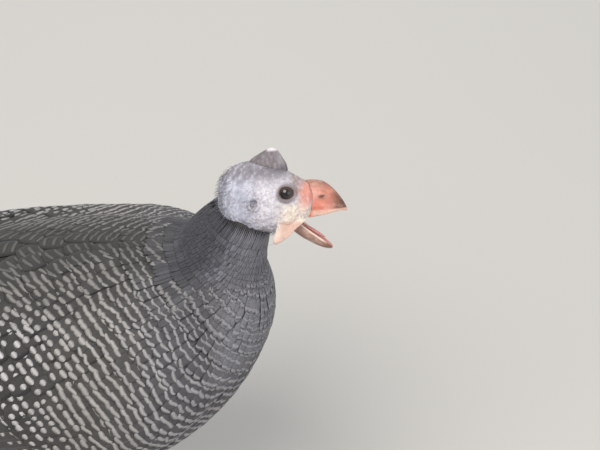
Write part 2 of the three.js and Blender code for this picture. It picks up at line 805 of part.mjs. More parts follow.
function makeClaw(side, name, toe) {
  const { ahead, tip } = toePath(side, name, toe);
  const at = (d, z) => tip.clone().addScaledVector(ahead, d).setZ(z);
  const length = CLAW_LENGTH * toe.radius;
  return limb(
    [at(GAP + 0.1, tip.z + 0.1), at(length * 0.45, tip.z + 0.1), at(length * 0.8, tip.z - 0.8), at(length, 0.75)],
    [1.75, 1.45, 0.85, 0.25],
    7,
    4,
  ).subtract(floorBlock());
}

// The bird, node by node

const head = makeHead();
hang(bird, "torso", makeTorso(0), materials.plumage);
hang(bird, "neck", largest(makeNeck()), materials.plumage);
hang(bird, "tail", largest(makeTail()), materials.flight);
hang(headFrame, "head", largest(head), materials.faceSkin);
hang(headFrame, "casque", largest(makeCasque()), materials.casque);
hang(headFrame, "bill_upper", largest(makeUpperBill()), materials.bill);
hang(headFrame, "bill_lower", largest(makeLowerBill()), materials.bill);
hang(headFrame, "tongue", largest(makeTongue()), materials.mouth);
for (const [name, side] of Object.entries(SIDES)) {
  hang(headFrame, `eye_${name}`, globe(eyeAt(side), EYE.radius), materials.eye);
  hang(headFrame, `wattle_${name}`, largest(makeWattle(side)), materials.wattle);
  hang(bird, `wing_${name}`, largest(makeWing(side)), materials.flight);
  hang(bird, `thigh_${name}`, largest(makeThigh(side, name)), materials.plumage);
  hang(bird, `shank_${name}`, makeShank(side, name), materials.leg);
  hang(bird, `foot_${name}`, largest(makeFoot(side, name)), materials.leg);
  for (const toe of TOES) hang(bird, `claw_${name}_${toe.name}`, largest(makeClaw(side, name, toe)), materials.claw);
}

// The origin is on the floor, under the middle of the bird's bounds.
const bounds = new THREE.Box3().setFromObject(bird, true);
const middle = bounds.getCenter(point());
bird.position.set(-middle.x, -middle.y, -bounds.min.z);

export default bird;
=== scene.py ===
import math

import bpy
import numpy as np
from mathutils import Matrix, Vector
from mathutils.bvhtree import BVHTree
from mathutils.noise import fractal


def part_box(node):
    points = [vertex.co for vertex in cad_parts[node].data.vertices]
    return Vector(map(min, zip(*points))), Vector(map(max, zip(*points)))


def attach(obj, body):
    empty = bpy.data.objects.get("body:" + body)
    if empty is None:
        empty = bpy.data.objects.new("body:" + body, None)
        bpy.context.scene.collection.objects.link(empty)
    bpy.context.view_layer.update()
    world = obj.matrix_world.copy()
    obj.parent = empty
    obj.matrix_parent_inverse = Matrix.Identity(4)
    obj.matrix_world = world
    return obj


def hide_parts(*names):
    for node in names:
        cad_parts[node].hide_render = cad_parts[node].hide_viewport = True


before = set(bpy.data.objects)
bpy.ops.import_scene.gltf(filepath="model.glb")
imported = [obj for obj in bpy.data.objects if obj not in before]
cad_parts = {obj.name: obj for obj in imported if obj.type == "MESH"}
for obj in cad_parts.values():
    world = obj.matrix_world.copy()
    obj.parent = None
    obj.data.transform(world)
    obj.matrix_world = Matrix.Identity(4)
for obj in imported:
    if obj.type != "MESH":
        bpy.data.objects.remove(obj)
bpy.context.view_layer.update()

MM = 0.001
SIDES = ((-1, "right"), (1, "left"))
rng = np.random.default_rng(7)

# Places are given in millimetres with the breast's front at 159, as a maker would measure the bird.
BREAST_FRONT = 159
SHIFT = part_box("torso")[1].x - BREAST_FRONT * MM

# The photograph's view: how the head sits in it, and how far off it was taken
PHOTO_SIZE = (600, 450)
EYE_PIXEL = (286, 192.5)
MM_PER_PIXEL = 0.52
VIEW_DOWN = 39
LENS = 85
SENSOR = 36

HEAD_AT = (164.7, 0, 280.7)
HEAD_ROLL = 28
HEAD_PITCH = 3
JAW_DOWN = 41
GAPE = (5.2, 0, -15.2)

# Coat: where the rows of feathers turn from round the neck to round the body
ROW_PIVOT = (40, 320)
ROW_CENTRES = [
    (142, -3.5, 270), (138, -2.5, 260), (131, -1, 245), (121, 0, 228), (107, 0, 210), (88, 0, 195),
    (64, 0, 183), (40, 0, 176), (0, 0, 173), (-45, 0, 174), (-80, 0, 177), (-101, 0, 180),
]
FEATHERS_ROUND = 82
NECK_ROUND = 92
COAT_DEPTH = 2.6

TAIL_AT = (-78, 0, 186)
TAIL_DROOP = 31

# The sheet under a folded wing's feathers: distance back, centre height, half height, half width
WING_SHEET = [
    (20, 192, 44, 44), (44, 185, 60, 59.5), (75, 175, 72.5, 69), (110, 171, 75, 70.5), (150, 170, 72, 69),
    (190, 171, 63, 64), (220, 173, 51, 56), (245, 175, 42, 47), (285, 172, 34, 35),
]
WING_REAR = ((178, 40), (122, 108))  # where the wing's flesh ends: distance back and degrees round


def at(x, y, z):
    """A place on the bird, from millimetres."""
    return Vector((x * MM + SHIFT, y * MM, z * MM))


def linear(code, alpha=1.0):
    """An sRGB hex colour as Blender's linear one."""
    parts = [int(code[i:i + 2], 16) / 255 for i in (1, 3, 5)]
    return tuple(c / 12.92 if c <= 0.04045 else ((c + 0.055) / 1.055) ** 2.4 for c in parts) + (alpha,)


def colour(tone):
    """A hex colour as a linear one to paint with. A colour that is linear already stays as it is."""
    return np.array(linear(tone)[:3]) if isinstance(tone, str) else tone


def smooth(value, low, high):
    """0 below low, 1 above high, and a soft step between."""
    t = np.clip((np.asarray(value, float) - low) / (high - low), 0, 1)
    return t * t * (3 - 2 * t)


def blend_rows(first, second, share):
    """Rows of first turned towards second by each row's share."""
    share = np.asarray(share, float)[..., None]
    return np.asarray(first) * (1 - share) + np.asarray(second) * share


def tinted(start, *steps):
    """Colours built up from a start by (share, colour) steps."""
    tones = colour(start)
    for share, tone in steps:
        tones = blend_rows(tones, colour(tone), np.clip(share, 0, 1))
    return tones


def unit(rows):
    return rows / np.linalg.norm(rows, axis=-1, keepdims=True)


def curve(keys, values):
    """A smooth curve through stations that doesn't overshoot them. Takes numbers or arrays."""
    keys, values = np.asarray(keys, float), np.asarray(values, float)
    slope = np.diff(values) / np.diff(keys)
    lean = np.concatenate([[slope[0]], np.zeros(len(keys) - 2), [slope[-1]]])
    same = slope[:-1] * slope[1:] > 0
    lean[1:-1][same] = 2 * slope[:-1][same] * slope[1:][same] / (slope[:-1] + slope[1:])[same]

    def value(key):
        key = np.clip(key, keys[0], keys[-1])
        i = np.clip(np.searchsorted(keys, key, side="right") - 1, 0, len(keys) - 2)
        width = keys[i + 1] - keys[i]
        t = (key - keys[i]) / width
        rise = t * t * (3 - 2 * t)
        bend = width * (lean[i] * t * (1 - t) ** 2 - lean[i + 1] * t * t * (1 - t))
        return values[i] * (1 - rise) + values[i + 1] * rise + bend

    return value


def evenly_along(stations, count):
    """So many places spaced evenly on a smooth line through stations in millimetres."""
    line = np.array([at(*station) for station in stations])
    reach = np.concatenate([[0], np.cumsum(np.linalg.norm(np.diff(line, axis=0), axis=1))])
    steps = np.linspace(0, reach[-1], count)
    return np.stack([curve(reach, line[:, i])(steps) for i in range(3)], -1)


# Objects


def only(*objects):
    """Selects these objects alone and makes the first one active."""
    bpy.ops.object.select_all(action="DESELECT")
    for piece in objects:
        piece.select_set(True)
    bpy.context.view_layer.objects.active = objects[0]


def edit_all():
    """Opens the active piece for editing with all of it selected."""
    bpy.ops.object.mode_set(mode="EDIT")
    bpy.ops.mesh.select_all(action="SELECT")


def copy_of(node):
    """A CAD node's shape as an object of its own, with its loose triangles merged."""
    piece = bpy.data.objects.new("form_" + node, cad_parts[node].data.copy())
    bpy.context.collection.objects.link(piece)
    piece.data.materials.clear()
    only(piece)
    edit_all()
    bpy.ops.mesh.remove_doubles(threshold=1e-6)
    bpy.ops.object.mode_set(mode="OBJECT")
    return piece


def cut(place, facing):
    """Takes away what lies past a plane from the active piece, and closes the cut."""
    edit_all()
    bpy.ops.mesh.bisect(plane_co=place, plane_no=facing, use_fill=True, clear_outer=True)
    bpy.ops.object.mode_set(mode="OBJECT")


def melt(name, pieces, voxel, rounds):
    """Joins pieces into one closed form of that voxel size in millimetres, and smooths it."""
    only(*pieces)
    bpy.ops.object.join()
    form = bpy.context.object
    form.name = name
    form.data.remesh_voxel_size = voxel * MM
    bpy.ops.object.voxel_remesh()
    ease = form.modifiers.new("ease", "SMOOTH")
    ease.iterations = rounds
    bpy.ops.object.modifier_apply(modifier=ease.name)
    bpy.ops.object.shade_smooth()
    return form


def vertex_rows(piece, key):
    flat = np.empty(len(piece.data.vertices) * 3)
    piece.data.vertices.foreach_get(key, flat)
    return flat.reshape(-1, 3)


def places(piece):
    """A mesh's vertices as rows of metres."""
    return vertex_rows(piece, "co")


def facings(piece):
    """The direction that each vertex faces."""
    return vertex_rows(piece, "normal")


def move_to(piece, rows):
    piece.data.vertices.foreach_set("co", np.ascontiguousarray(rows, dtype=np.float32).ravel())
    piece.data.update()


def swell(piece, depth):
    """Moves a piece's surface out by millimetres, one number for all of it or one for each vertex."""
    move_to(piece, places(piece) + facings(piece) * np.reshape(depth, (-1, 1)) * MM)
    return piece


def mesh_piece(name, rows, faces, tones):
    """A new piece from closed parts that are alike: each one's places and tone, and the faces of one."""
    count, each = rows.shape[:2]
    faces = np.asarray(faces)
    corners = faces.shape[1]
    faces = (faces[None] + (np.arange(count) * each)[:, None, None]).reshape(-1, corners).astype(np.int32)
    mesh = bpy.data.meshes.new(name)
    mesh.vertices.add(count * each)
    mesh.vertices.foreach_set("co", np.ascontiguousarray(rows, dtype=np.float32).ravel())
    mesh.loops.add(faces.size)
    mesh.loops.foreach_set("vertex_index", faces.ravel())
    mesh.polygons.add(len(faces))
    mesh.polygons.foreach_set("loop_start", np.arange(0, faces.size, corners, dtype=np.int32))
    mesh.polygons.foreach_set("loop_total", np.full(len(faces), corners, np.int32))
    mesh.polygons.foreach_set("use_smooth", np.ones(len(faces), bool))
    mesh.update(calc_edges=True)
    mesh.validate()
    piece = bpy.data.objects.new(name, mesh)
    bpy.context.collection.objects.link(piece)
    paint(piece, np.repeat(np.broadcast_to(tones, (count, 3)), each, 0))
    return piece


def paint(piece, tones):
    """Gives a piece its colour: a hex code or a linear colour for all of it, or one for each vertex."""
    layer = piece.data.color_attributes.new("tone", "FLOAT_COLOR", "POINT")
    rgba = np.ones((len(piece.data.vertices), 4), np.float32)
    rgba[:, :3] = colour(tones)
    layer.data.foreach_set("color", rgba.ravel())


def unwrap(piece, name, uv):
    """Gives each vertex its place on a UV map."""
    layer = piece.data.uv_layers.new(name=name)
    corner = np.empty(len(piece.data.loops), np.int32)
    piece.data.loops.foreach_get("vertex_index", corner)
    layer.data.foreach_set("uv", np.ascontiguousarray(uv.reshape(-1, 2)[corner], dtype=np.float32).ravel())


PATCH = 0.003  # the side of one feather's or mark's patch on the map for baking


def unwrap_patches(piece, spread, patch):
    """The map for baking: each part spreads over a small patch of its own, by its places from 0 to 1."""
    unwrap(piece, "OFBake", (spread - 0.5) * PATCH + patch[:, None, :])


def settle(piece, material, slot, *nodes):
    """Finishes a piece: its material, its body and the CAD nodes it stands for. The slot is not used."""
    piece.data.materials.clear()
    piece.data.materials.append(material)
    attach(piece, "root")
    if nodes:
        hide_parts(*nodes)


# Materials


def add(tree, kind, values=None, links=None, **settings):
    """Adds a node with its settings, its sockets' values and its links."""
    node = tree.nodes.new(kind)
    for name, value in settings.items():
        setattr(node, name, value)
    for name, value in (values or {}).items():
        node.inputs[name].default_value = value
    for name, socket in (links or {}).items():
        tree.links.new(socket, node.inputs[name])
    return node


def maths(tree, operation, *inputs):
    """A sum of numbers and sockets, as a socket."""
    values = {i: given for i, given in enumerate(inputs) if isinstance(given, float)}
    links = {i: given for i, given in enumerate(inputs) if i not in values}
    return add(tree, "ShaderNodeMath", values, links, operation=operation).outputs[0]


def on_object(tree):
    return add(tree, "ShaderNodeTexCoord").outputs["Object"]


def noise(tree, scale, detail, **more):
    look = {"Scale": scale, "Detail": detail, **more}
    return add(tree, "ShaderNodeTexNoise", look, {"Vector": on_object(tree)}).outputs["Fac"]


def new_material(name, **sockets):
    """A material with its shader, whose plain sockets are set here."""
    material = bpy.data.materials.new(name)
    material.use_nodes = True
    tree = material.node_tree
    shader = tree.nodes["Principled BSDF"]
    for socket, value in sockets.items():
        shader.inputs[socket.replace("_", " ")].default_value = value
    return material, tree, shader


def colour_by_height(tree, shader, height, low, high, dark, pale):
    """The painted tone as the shader's colour, times dark at the low height and pale at the high one. Where
    the same height gives the relief, this is painted shade in its hollows and painted light on its rises.
    """
    tone = add(tree, "ShaderNodeAttribute", attribute_name="tone")
    ends = {"From Min": low, "From Max": high, "To Min": dark, "To Max": pale}
    level = add(tree, "ShaderNodeMapRange", ends, {"Value": height})
    tint = add(tree, "ShaderNodeVectorMath", links={0: tone.outputs["Color"], 1: level.outputs[0]},
               operation="MULTIPLY")
    tree.links.new(tint.outputs[0], shader.inputs["Base Color"])


def relief_by_height(tree, shader, height, strength, distance):
    bump = add(tree, "ShaderNodeBump", {"Strength": strength, "Distance": distance}, {"Height": height})
    tree.links.new(bump.outputs[0], shader.inputs["Normal"])


# Vane feather: barbs run out from the shaft, so light catches fine slanting lines, which are also painted
# into the colour as painted light on the barbs and painted shade between them. The barbs are drawn
# 0.55 mm apart, coarser than the real 0.3 mm, so that they show.
BARBS_APART = 0.055  # on the vane map, whose unit is 10 mm
BARB_SLANT = 0.9


def feather_material(name, roughness, sheen, barb_shade_and_unevenness=0.16):
    material, tree, shader = new_material(
        name, Roughness=roughness, Sheen_Weight=sheen, Sheen_Roughness=0.4, IOR=1.54)
    lie = add(tree, "ShaderNodeUVMap", uv_map="vane")
    split = add(tree, "ShaderNodeSeparateXYZ", links={0: lie.outputs[0]})
    aside = maths(tree, "ABSOLUTE", split.outputs[0])
    slant = maths(tree, "MULTIPLY_ADD", aside, BARB_SLANT, split.outputs[1])
    barbs = maths(tree, "SINE", maths(tree, "MULTIPLY", slant, 2 * math.pi / BARBS_APART))
    uneven = maths(tree, "MULTIPLY_ADD", noise(tree, 240.0, 3.0), 0.9, noise(tree, 1300.0, 2.0))
    height = maths(tree, "MULTIPLY_ADD", barbs, 0.12, uneven)
    # Painted shade between the barbs and painted light on them, over tone that differs at random with the
    # noise
    colour_by_height(tree, shader, height, 0.45, 1.45, 1 - barb_shade_and_unevenness * 2, 1 + barb_shade_and_unevenness * 2)
    relief_by_height(tree, shader, height, 0.35, 0.12 * MM)
    return material


# The coat is matt, so its pattern reads at every angle. Flight feathers are stiffer and have a faint sheen.
contour_vane = feather_material("contour feather, soft keratin vane", 0.9, 0.06)
pearl_mark = feather_material("unpigmented keratin, pearl mark", 0.85, 0.05, 0.08)
flight_vane = feather_material("flight feather, stiff keratin vane", 0.62, 0.15)


# Skin and horn: painted by place, with pores and creases as far apart as crease says, in millimetres, which
# break up the light on them. The colour is also painted darker in the pores' dents and paler between them, as
# painted shade and painted light.
def skin_material(name, roughness, depth, crease, subsurface=0.08, coat=0.0):
    material, tree, shader = new_material(
        name, Roughness=roughness, Subsurface_Weight=subsurface, Subsurface_Scale=0.0015, Coat_Weight=coat,
        Coat_Roughness=0.2, Subsurface_Radius=(1.0, 0.45, 0.3))
    pores = add(tree, "ShaderNodeTexVoronoi", {"Scale": 1 / (crease * MM)}, {"Vector": on_object(tree)})
    cloud = noise(tree, 420.0, 5.0, Roughness=0.6)
    height = maths(tree, "MULTIPLY_ADD", pores.outputs["Distance"], 0.7, cloud)
    # Painted shade in the pores and painted light between them, over cloudy tone that differs at random
    colour_by_height(tree, shader, height, 0.35, 1.15, 0.86, 1.1)
    relief_by_height(tree, shader, height, 0.5, depth * MM)
    return material


body_hide = skin_material("skin under the coat, downy", 0.85, 0.4, 1.2)
face_hide = skin_material("bare face skin, fine and dry", 0.55, 0.18, 0.55)

# The body's form: flesh and coat together, melted into one so that nothing shows a seam


def wing_place(side, back, degrees, out):
    """A place over the wing's sheet, in metres. Takes numbers or arrays."""
    back = np.asarray(back, float)
    keys, *measures = zip(*WING_SHEET)
    middle, tall, half = (curve(keys, measure)(back) for measure in measures)
    angle = np.radians(degrees)
    x = BREAST_FRONT - back
    y = side * (half + out) * np.sin(angle)
    z = middle + (tall + out) * np.cos(angle)
    return np.stack(np.broadcast_arrays(x * MM + SHIFT, y * MM, z * MM), -1)


pieces = [copy_of(node) for node in ("torso", "neck", "head")]
for side, name in SIDES:
    pieces.append(copy_of("wing_" + name))
    top, low = (Vector(wing_place(side, back, degrees, 0)) for back, degrees in WING_REAR)
    facing = (low - top).cross(Vector((0, side, 0)))
    cut(top, facing if facing.x < 0 else -facing)
body_form = melt("body_form", pieces, 2.2, 12)

# Rows of feathers: rings round the neck and body, and lines of lie that run across them from head to tail

RINGS, SPOKES = 300, 208
RING_EASE = 3


def from_pivot(middle):
    """Which way is down and out in the ring through this centre."""
    px, pz = ROW_PIVOT
    corner = at(px, 0, pz)
    if middle.x <= corner.x:
        return Vector((0, 0, -1))
    return Vector((middle.x - corner.x, 0, middle.z - corner.z)).normalized()


def lie_grid(form, centres):
    """The form's surface as rings of places: [ring, spoke] from the first centre to the last."""
    tree = BVHTree.FromObject(form, bpy.context.evaluated_depsgraph_get())
    grid = np.zeros((RINGS, SPOKES, 3))
    for i, middle in enumerate(evenly_along(centres, RINGS)):
        down = from_pivot(Vector(middle))
        last = 0.02
        for j in range(SPOKES):
            turn = 2 * math.pi * j / SPOKES
            way = down * math.cos(turn) - Vector((0, 1, 0)) * math.sin(turn)
            hit = tree.ray_cast(Vector(middle), way)
            last = hit[3] if hit[0] else last
            grid[i, j] = Vector(middle) + way * last
    for _ in range(RING_EASE):
        grid = (grid + np.roll(grid, 1, 1) + np.roll(grid, -1, 1)) / 3
        grid[1:-1] = (grid[:-2] + grid[1:-1] + grid[2:]) / 3
    return grid


def degrees_round(spoke, spokes):
    """Degrees round from the belly, 0 to 180 on either side."""
    return np.abs((spoke / spokes * 360 + 180) % 360 - 180)


class Lie:
    """A surface of rings and spokes that feathers lie on. Spokes close on themselves."""

    def __init__(self, grid, own):
        self.grid = grid
        self.rings, self.spokes = grid.shape[:2]
        self.own = own  # the rings that feathers root on, before those that only tips reach

    def place(self, ring, spoke):
        """Places at fractional rings and spokes."""
        ring = np.clip(ring, 0, self.rings - 1.001)
        i, j = np.floor(ring).astype(int), np.floor(spoke).astype(int)
        a, b = (ring - i)[..., None], (spoke - j)[..., None]
        j, k = j % self.spokes, (j + 1) % self.spokes
        g = self.grid
        return (g[i, j] * (1 - a) + g[i + 1, j] * a) * (1 - b) + (g[i, k] * (1 - a) + g[i + 1, k] * a) * b

    def frame(self, ring, spoke):
        """The ways across and out at these places, and metres for a ring, a spoke and sideways drift."""
        onward = self.place(ring + 1.5, spoke) - self.place(ring - 1.5, spoke)
        row = self.place(ring, spoke + 2) - self.place(ring, spoke - 2)
        width = np.linalg.norm(row, axis=-1)
        row /= np.maximum(width, 1e-9)[..., None]
        out = np.cross(row, onward)
        out /= np.maximum(np.linalg.norm(out, axis=-1), 1e-9)[..., None]
        pace = (np.cross(out, row) * onward).sum(-1) / 3
        drift = (row * onward).sum(-1) / 3
        return -row, out, np.maximum(pace, 1e-5), np.maximum(width / 4, 1e-6), drift

    def pace(self, ring, turn):
        """Metres for a ring there, at a share of the way round."""
        return self.frame(np.array([ring]), np.array([self.spokes * turn]))[2][0]


def lengthened(grid, more):
    """The grid with rings that carry on straight past its end, for the tips of the last feathers."""
    step = (grid[-1] - grid[-4]) / 3
    return np.concatenate([grid, [grid[-1] + step * k for k in range(1, more + 1)]])


# How far back a row lies, in millimetres, against its place on the flank, by degrees round from the belly
ROW_SLANT = [
    (0, -30), (30, -25), (60, -15), (90, 0), (105, 9), (120, 21), (132, 31), (145, 45), (157, 59), (172, 76),
    (180, 84),
]
EVEN_RINGS = (30, 75)  # the rings over which the rows' spacing on the flank takes over all the way round
SLANT_RINGS = (40, 150)  # the rings from round the neck to round the body over which the slant sets in
SLANT_FADES = (170, 290)  # and those over which most of it goes again
SLANT_BEYOND = 170
SLANT_EASE = 12
TIP_RINGS = 30  # rings past the coat's end, where tips may still lie


def slanted(grid):
    """The same surface in even rings that slant back from belly to back, as rows of feathers do.

    Gives the surface's own ring too at each place, so that what lies past its end can be left out.
    """
    rings, spokes = grid.shape[:2]
    long = lengthened(grid, SLANT_BEYOND)
    across = np.arange(spokes)
    paces = np.linalg.norm(np.diff(long, axis=0, prepend=long[:1]), axis=-1)
    reach = np.cumsum(paces, 0)
    evenly = smooth(np.arange(len(long)), *EVEN_RINGS)[:, None]
    even = np.cumsum(paces * (1 - evenly) + paces[:, spokes // 4][:, None] * evenly, 0)

    def at_ring(wanted):
        return np.stack([np.interp(wanted[:, j], reach[:, j], np.arange(len(long))) for j in across], 1)

    now = at_ring(even[SLANT_RINGS[1]:SLANT_RINGS[1] + 1])[0]
    low = np.floor(now).astype(int)
    x_now = long[low, across, 0] + (long[low + 1, across, 0] - long[low, across, 0]) * (now - low)
    target = curve(*zip(*ROW_SLANT))(degrees_round(across, spokes)) * MM
    shift = target - (x_now[spokes // 4] - x_now)
    for _ in range(SLANT_EASE):
        shift = (shift + np.roll(shift, 1) + np.roll(shift, -1)) / 3
    i = np.arange(rings + TIP_RINGS)[:, None]
    slant = smooth(i, *SLANT_RINGS) * (1 - 0.9 * smooth(i, *SLANT_FADES))
    own = np.clip(at_ring(even[:rings + TIP_RINGS] + shift[None, :] * slant), 0, len(long) - 1.001)
    low = np.floor(own).astype(int)
    t = (own - low)[..., None]
    return long[low, across] * (1 - t) + long[low + 1, across] * t, own


coat_grid, coat_from = slanted(lie_grid(body_form, ROW_CENTRES))
coat_lie = Lie(coat_grid, RINGS + 16)

VANE_STEPS = np.array([0, 0.28, 0.48, 0.64, 0.78, 0.89, 0.96, 1.0])
VANE_OUTLINE = np.array([0.3, 0.66, 0.9, 1.0, 1.0, 0.9, 0.66, 0.3])
VANE_ACROSS = np.array([-1, -0.5, 0, 0.5, 1.0])
VANE_SINK = 2.2
VANE_THICK = 0.12 * MM
SHAFT_HIGH = 0.04 * MM
CAMBER = 0.05


def lay_feathers(lie, ring, spoke, length, half, root, tip, yaw):
    """Spines of feathers that follow the lie from their roots: places, ways across and out, and half widths.

    All is in metres. root is how deep the root is sunk, below 0, and tip how far the tip stands.
    """
    ring, spoke = ring.astype(float).copy(), spoke.astype(float).copy()
    length = np.broadcast_to(length, ring.shape)
    spine, side, out = [], [], []
    last = 0.0
    for v in VANE_STEPS:
        _, _, pace, width, drift = lie.frame(ring, spoke)
        rings = (v - last) * length / pace
        ring = ring + rings
        spoke = spoke + ((v - last) * length * yaw - rings * drift) / width
        last = v
        across, facing = lie.frame(ring, spoke)[:2]
        lift = tip + (root - tip) * (1 - v) ** VANE_SINK
        spine.append(lie.place(ring, spoke) + facing * lift[:, None])
        side.append(across)
        out.append(facing)
    return {
        "spine": np.stack(spine, 1), "side": np.stack(side, 1), "out": np.stack(out, 1),
        "half": half[:, None] * VANE_OUTLINE, "steps": VANE_STEPS, "length": length,
    }


def on_vane(lay, which, across, v):
    """Places on the feathers' upper sides and the way out there. across is in metres from the shaft."""
    steps = lay["steps"]
    i = np.clip(np.searchsorted(steps, v, side="right") - 1, 0, len(steps) - 2)
    t = (v - steps[i]) / (steps[i + 1] - steps[i])

    def between(key, t):
        return lay[key][which, i] * (1 - t) + lay[key][which, i + 1] * t

    half = between("half", t)
    spine, side, out = (between(key, t[..., None]) for key in ("spine", "side", "out"))
    c = across / np.maximum(half, 1e-5)
    return spine + side * across[..., None] - out * (CAMBER * half * c * c)[..., None], out


def vane_piece(name, lay, tones, patch, thick=VANE_THICK, across=VANE_ACROSS):
    """One piece from many closed vanes, thickest at the shaft, with their tones and UV maps."""
    count, rows = lay["half"].shape
    columns = len(across)
    per = rows * columns
    c = across[None, None, :]
    half = lay["half"][:, :, None]
    out = lay["out"][:, :, None]
    base = lay["spine"][:, :, None] + lay["side"][:, :, None] * (c * half)[..., None]
    base = base - out * (CAMBER * half * c * c)[..., None]
    inner = (np.abs(across) < 0.99)[None, None, :] & (np.arange(rows) < rows - 1)[None, :, None]
    body = thick * (1 - 0.5 * np.abs(c)) * inner
    ridge = np.where(np.abs(c) < 0.01, SHAFT_HIGH, 0) * inner
    rim = np.zeros((rows, columns), bool)
    rim[[0, -1], :] = rim[:, [0, -1]] = True
    number = np.arange(per).reshape(rows, columns)
    lower = np.where(rim, number, 0)
    lower[~rim] = per + np.arange((~rim).sum())

    def both_sides(upper, under=None):
        """Rows for the upper side's vertices, then for the underside's, which shares the upper side's rim."""
        upper, under = (some.reshape(count, per, -1) for some in (upper, upper if under is None else under))
        return np.concatenate([upper, under[:, ~rim.ravel()]], 1)

    def quads(number, turned):
        a, b, d, e = number[:-1, :-1], number[1:, :-1], number[:-1, 1:], number[1:, 1:]
        return np.stack([a, d, e, b] if turned else [a, b, e, d], -1).reshape(-1, 4)

    spots = both_sides(base + out * (body / 2 + ridge)[..., None], base - out * (body / 2)[..., None])
    piece = mesh_piece(name, spots, np.concatenate([quads(number, False), quads(lower, True)]), tones)
    u = c * half * 100
    v = np.broadcast_to((lay["steps"][None, :] * lay["length"][:, None] * 100)[:, :, None], u.shape)
    unwrap(piece, "vane", both_sides(np.stack([u, v], -1)))
    flat = np.broadcast_arrays(c / 2 + 0.5, lay["steps"][None, :, None], u)[:2]
    unwrap_patches(piece, both_sides(np.stack(flat, -1)), patch)
    return piece


MARK_COLUMNS = np.array([-1, -0.8, -0.36, 0, 0.36, 0.8, 1])
MARK_HIGH = 0.07 * MM
MARK_SUNK = 0.04 * MM
MARK_KEYS = ("across", "v", "wide", "long", "bow", "tilt", "blunt", "wave")


def mark_faces(n):
    """Triangles of a mark, whose crest, rear edge, front edge and line below share their ends."""
    crest = np.arange(n)
    rear, front, under = ([0, *(start + np.arange(n - 2)), n - 1] for start in (n, 2 * n - 2, 3 * n - 4))
    faces = []
    for near, far in ((rear, crest), (crest, front), (under, rear), (front, under)):
        for k in range(n - 1):
            kept = list(dict.fromkeys([near[k], far[k], far[k + 1], near[k + 1]]))
            faces += [kept] if len(kept) == 3 else [kept[:3], [kept[0], kept[2], kept[3]]]
    return np.asarray(faces)[:, ::-1]


def mark_piece(name, lay, which, marks, tones, patch, lift=VANE_THICK):
    """Closed lens-shaped marks lying on the feathers, each with the number of its feather.

    marks: across and v give the middle, wide and long the half sizes in metres, bow how far the middle bulges
    towards the tip, tilt how far one end lies ahead, wave how far it winds, and blunt how square the ends are
    (2 is round).
    """
    s = MARK_COLUMNS
    given = (np.broadcast_to(marks.get(key, 0.0), len(which))[:, None] for key in MARK_KEYS)
    across, v, wide, long, bow, tilt, blunt, wave = given
    taper = np.sqrt(np.maximum(0, 1 - np.abs(s) ** blunt))
    rows = []
    for t in (-1, 0, 1):
        x = across + wide * s
        forward = long * t * taper + bow * (1 - s ** 2) + tilt * s + wave * np.sin(math.pi * s)
        vv = np.clip(v + forward / lay["length"][which][:, None], 0.02, 0.995)
        spot, out = on_vane(lay, np.broadcast_to(which[:, None], x.shape), x, vv)
        rows.append(spot + out * (lift if t else lift + MARK_HIGH))
        if t == 0:
            under = spot - out * MARK_SUNK
    rear, crest, front = rows
    spots = np.concatenate([crest, *(some[:, 1:-1] for some in (rear, front, under))], 1)
    piece = mesh_piece(name, spots, mark_faces(len(s)), tones)
    count, each = spots.shape[:2]
    spread = np.stack([np.tile(np.linspace(0, 1, each), (count, 1)), np.full((count, each), 0.5)], -1)
    unwrap(piece, "vane", spread + patch[:, None, :] * 7)
    unwrap_patches(piece, spread, patch)
    return piece


# How far apart lines of bars or spots are, in millimetres, by how far forward they lie: two lines to a row
BAR_PITCH = [(-110, 6.2), (20, 6.1), (58, 5.9), (84, 5.6), (120, 5.1), (150, 4.8)]
BACK_PITCH = 4.7
NECK_ROW = 3.2
bar_pitch = curve(*zip(*BAR_PITCH))


def coat_rows(lie):
    """Rings at which rows of feathers root, with the rows' spacing there in metres and the feathers round."""
    rows, ring = [], 0.0
    while ring < lie.own - 2:
        spot = lie.place(np.array([ring]), np.array([lie.spokes / 4]))[0]
        x, z = (spot[0] - SHIFT) / MM, spot[2] / MM
        neck = float(smooth(z, 222, 244) * smooth(x, 100, 118))
        spacing = (2 * float(bar_pitch(x)) * (1 - neck) + NECK_ROW * neck) * MM
        rows.append((ring, spacing, round(FEATHERS_ROUND + (NECK_ROUND - FEATHERS_ROUND) * neck)))
        ring += spacing / lie.pace(ring, 1 / 4)
    return rows


TONES = {name: colour(code) for name, code in {
    "neck": "#4b4a51", "nape": "#3d3d43", "throat": "#75747a", "neck light": "#8b8b94",
    "breast": "#767579", "breast bar": "#a6a5ab", "front": "#514f52", "front bar": "#a3a0a2",
    "middle": "#464442", "middle bar": "#a19d9a", "rear": "#3a3838", "rear spot": "#bdbaba",
    "back": "#393837", "back spot": "#827f7c",
}.items()}
ROW_WANDER = 1.1
BACK_SHEAR = [(0, 0), (128, 0), (146, 0.07), (158, 0.18), (172, 0.3), (180, 0.3)]  # by degrees from the belly


COAT_ROUND = 80  # the coat's radius in rings, for unevenness as long as it is wide


def drift(ring, spoke, size, seed):
    """Slow unevenness over the coat, about -1 to 1, the same for neighbours."""
    def noise_there(r, t):
        there = Vector((r / size, COAT_ROUND * math.cos(t) / size, COAT_ROUND * math.sin(t) / size + seed))
        return 2.2 * fractal(there, 1.0, 2.0, 2)

    return np.array([noise_there(r, 2 * math.pi * t) for r, t in zip(ring, spoke / SPOKES)])


def uneven(tones, count, spread=0.06):
    """A tone for each of so many, or one given for each, with small differences in how light they are."""
    return tones * (1 + rng.normal(0, spread, count))[:, None]


def row_round(around, k, spokes, jitter):
    """The spokes of row number k, which stands half a feather aside from the row before."""
    return (np.arange(around) + (0.5 if k % 2 else 0) + rng.normal(0, jitter, around)) * spokes / around


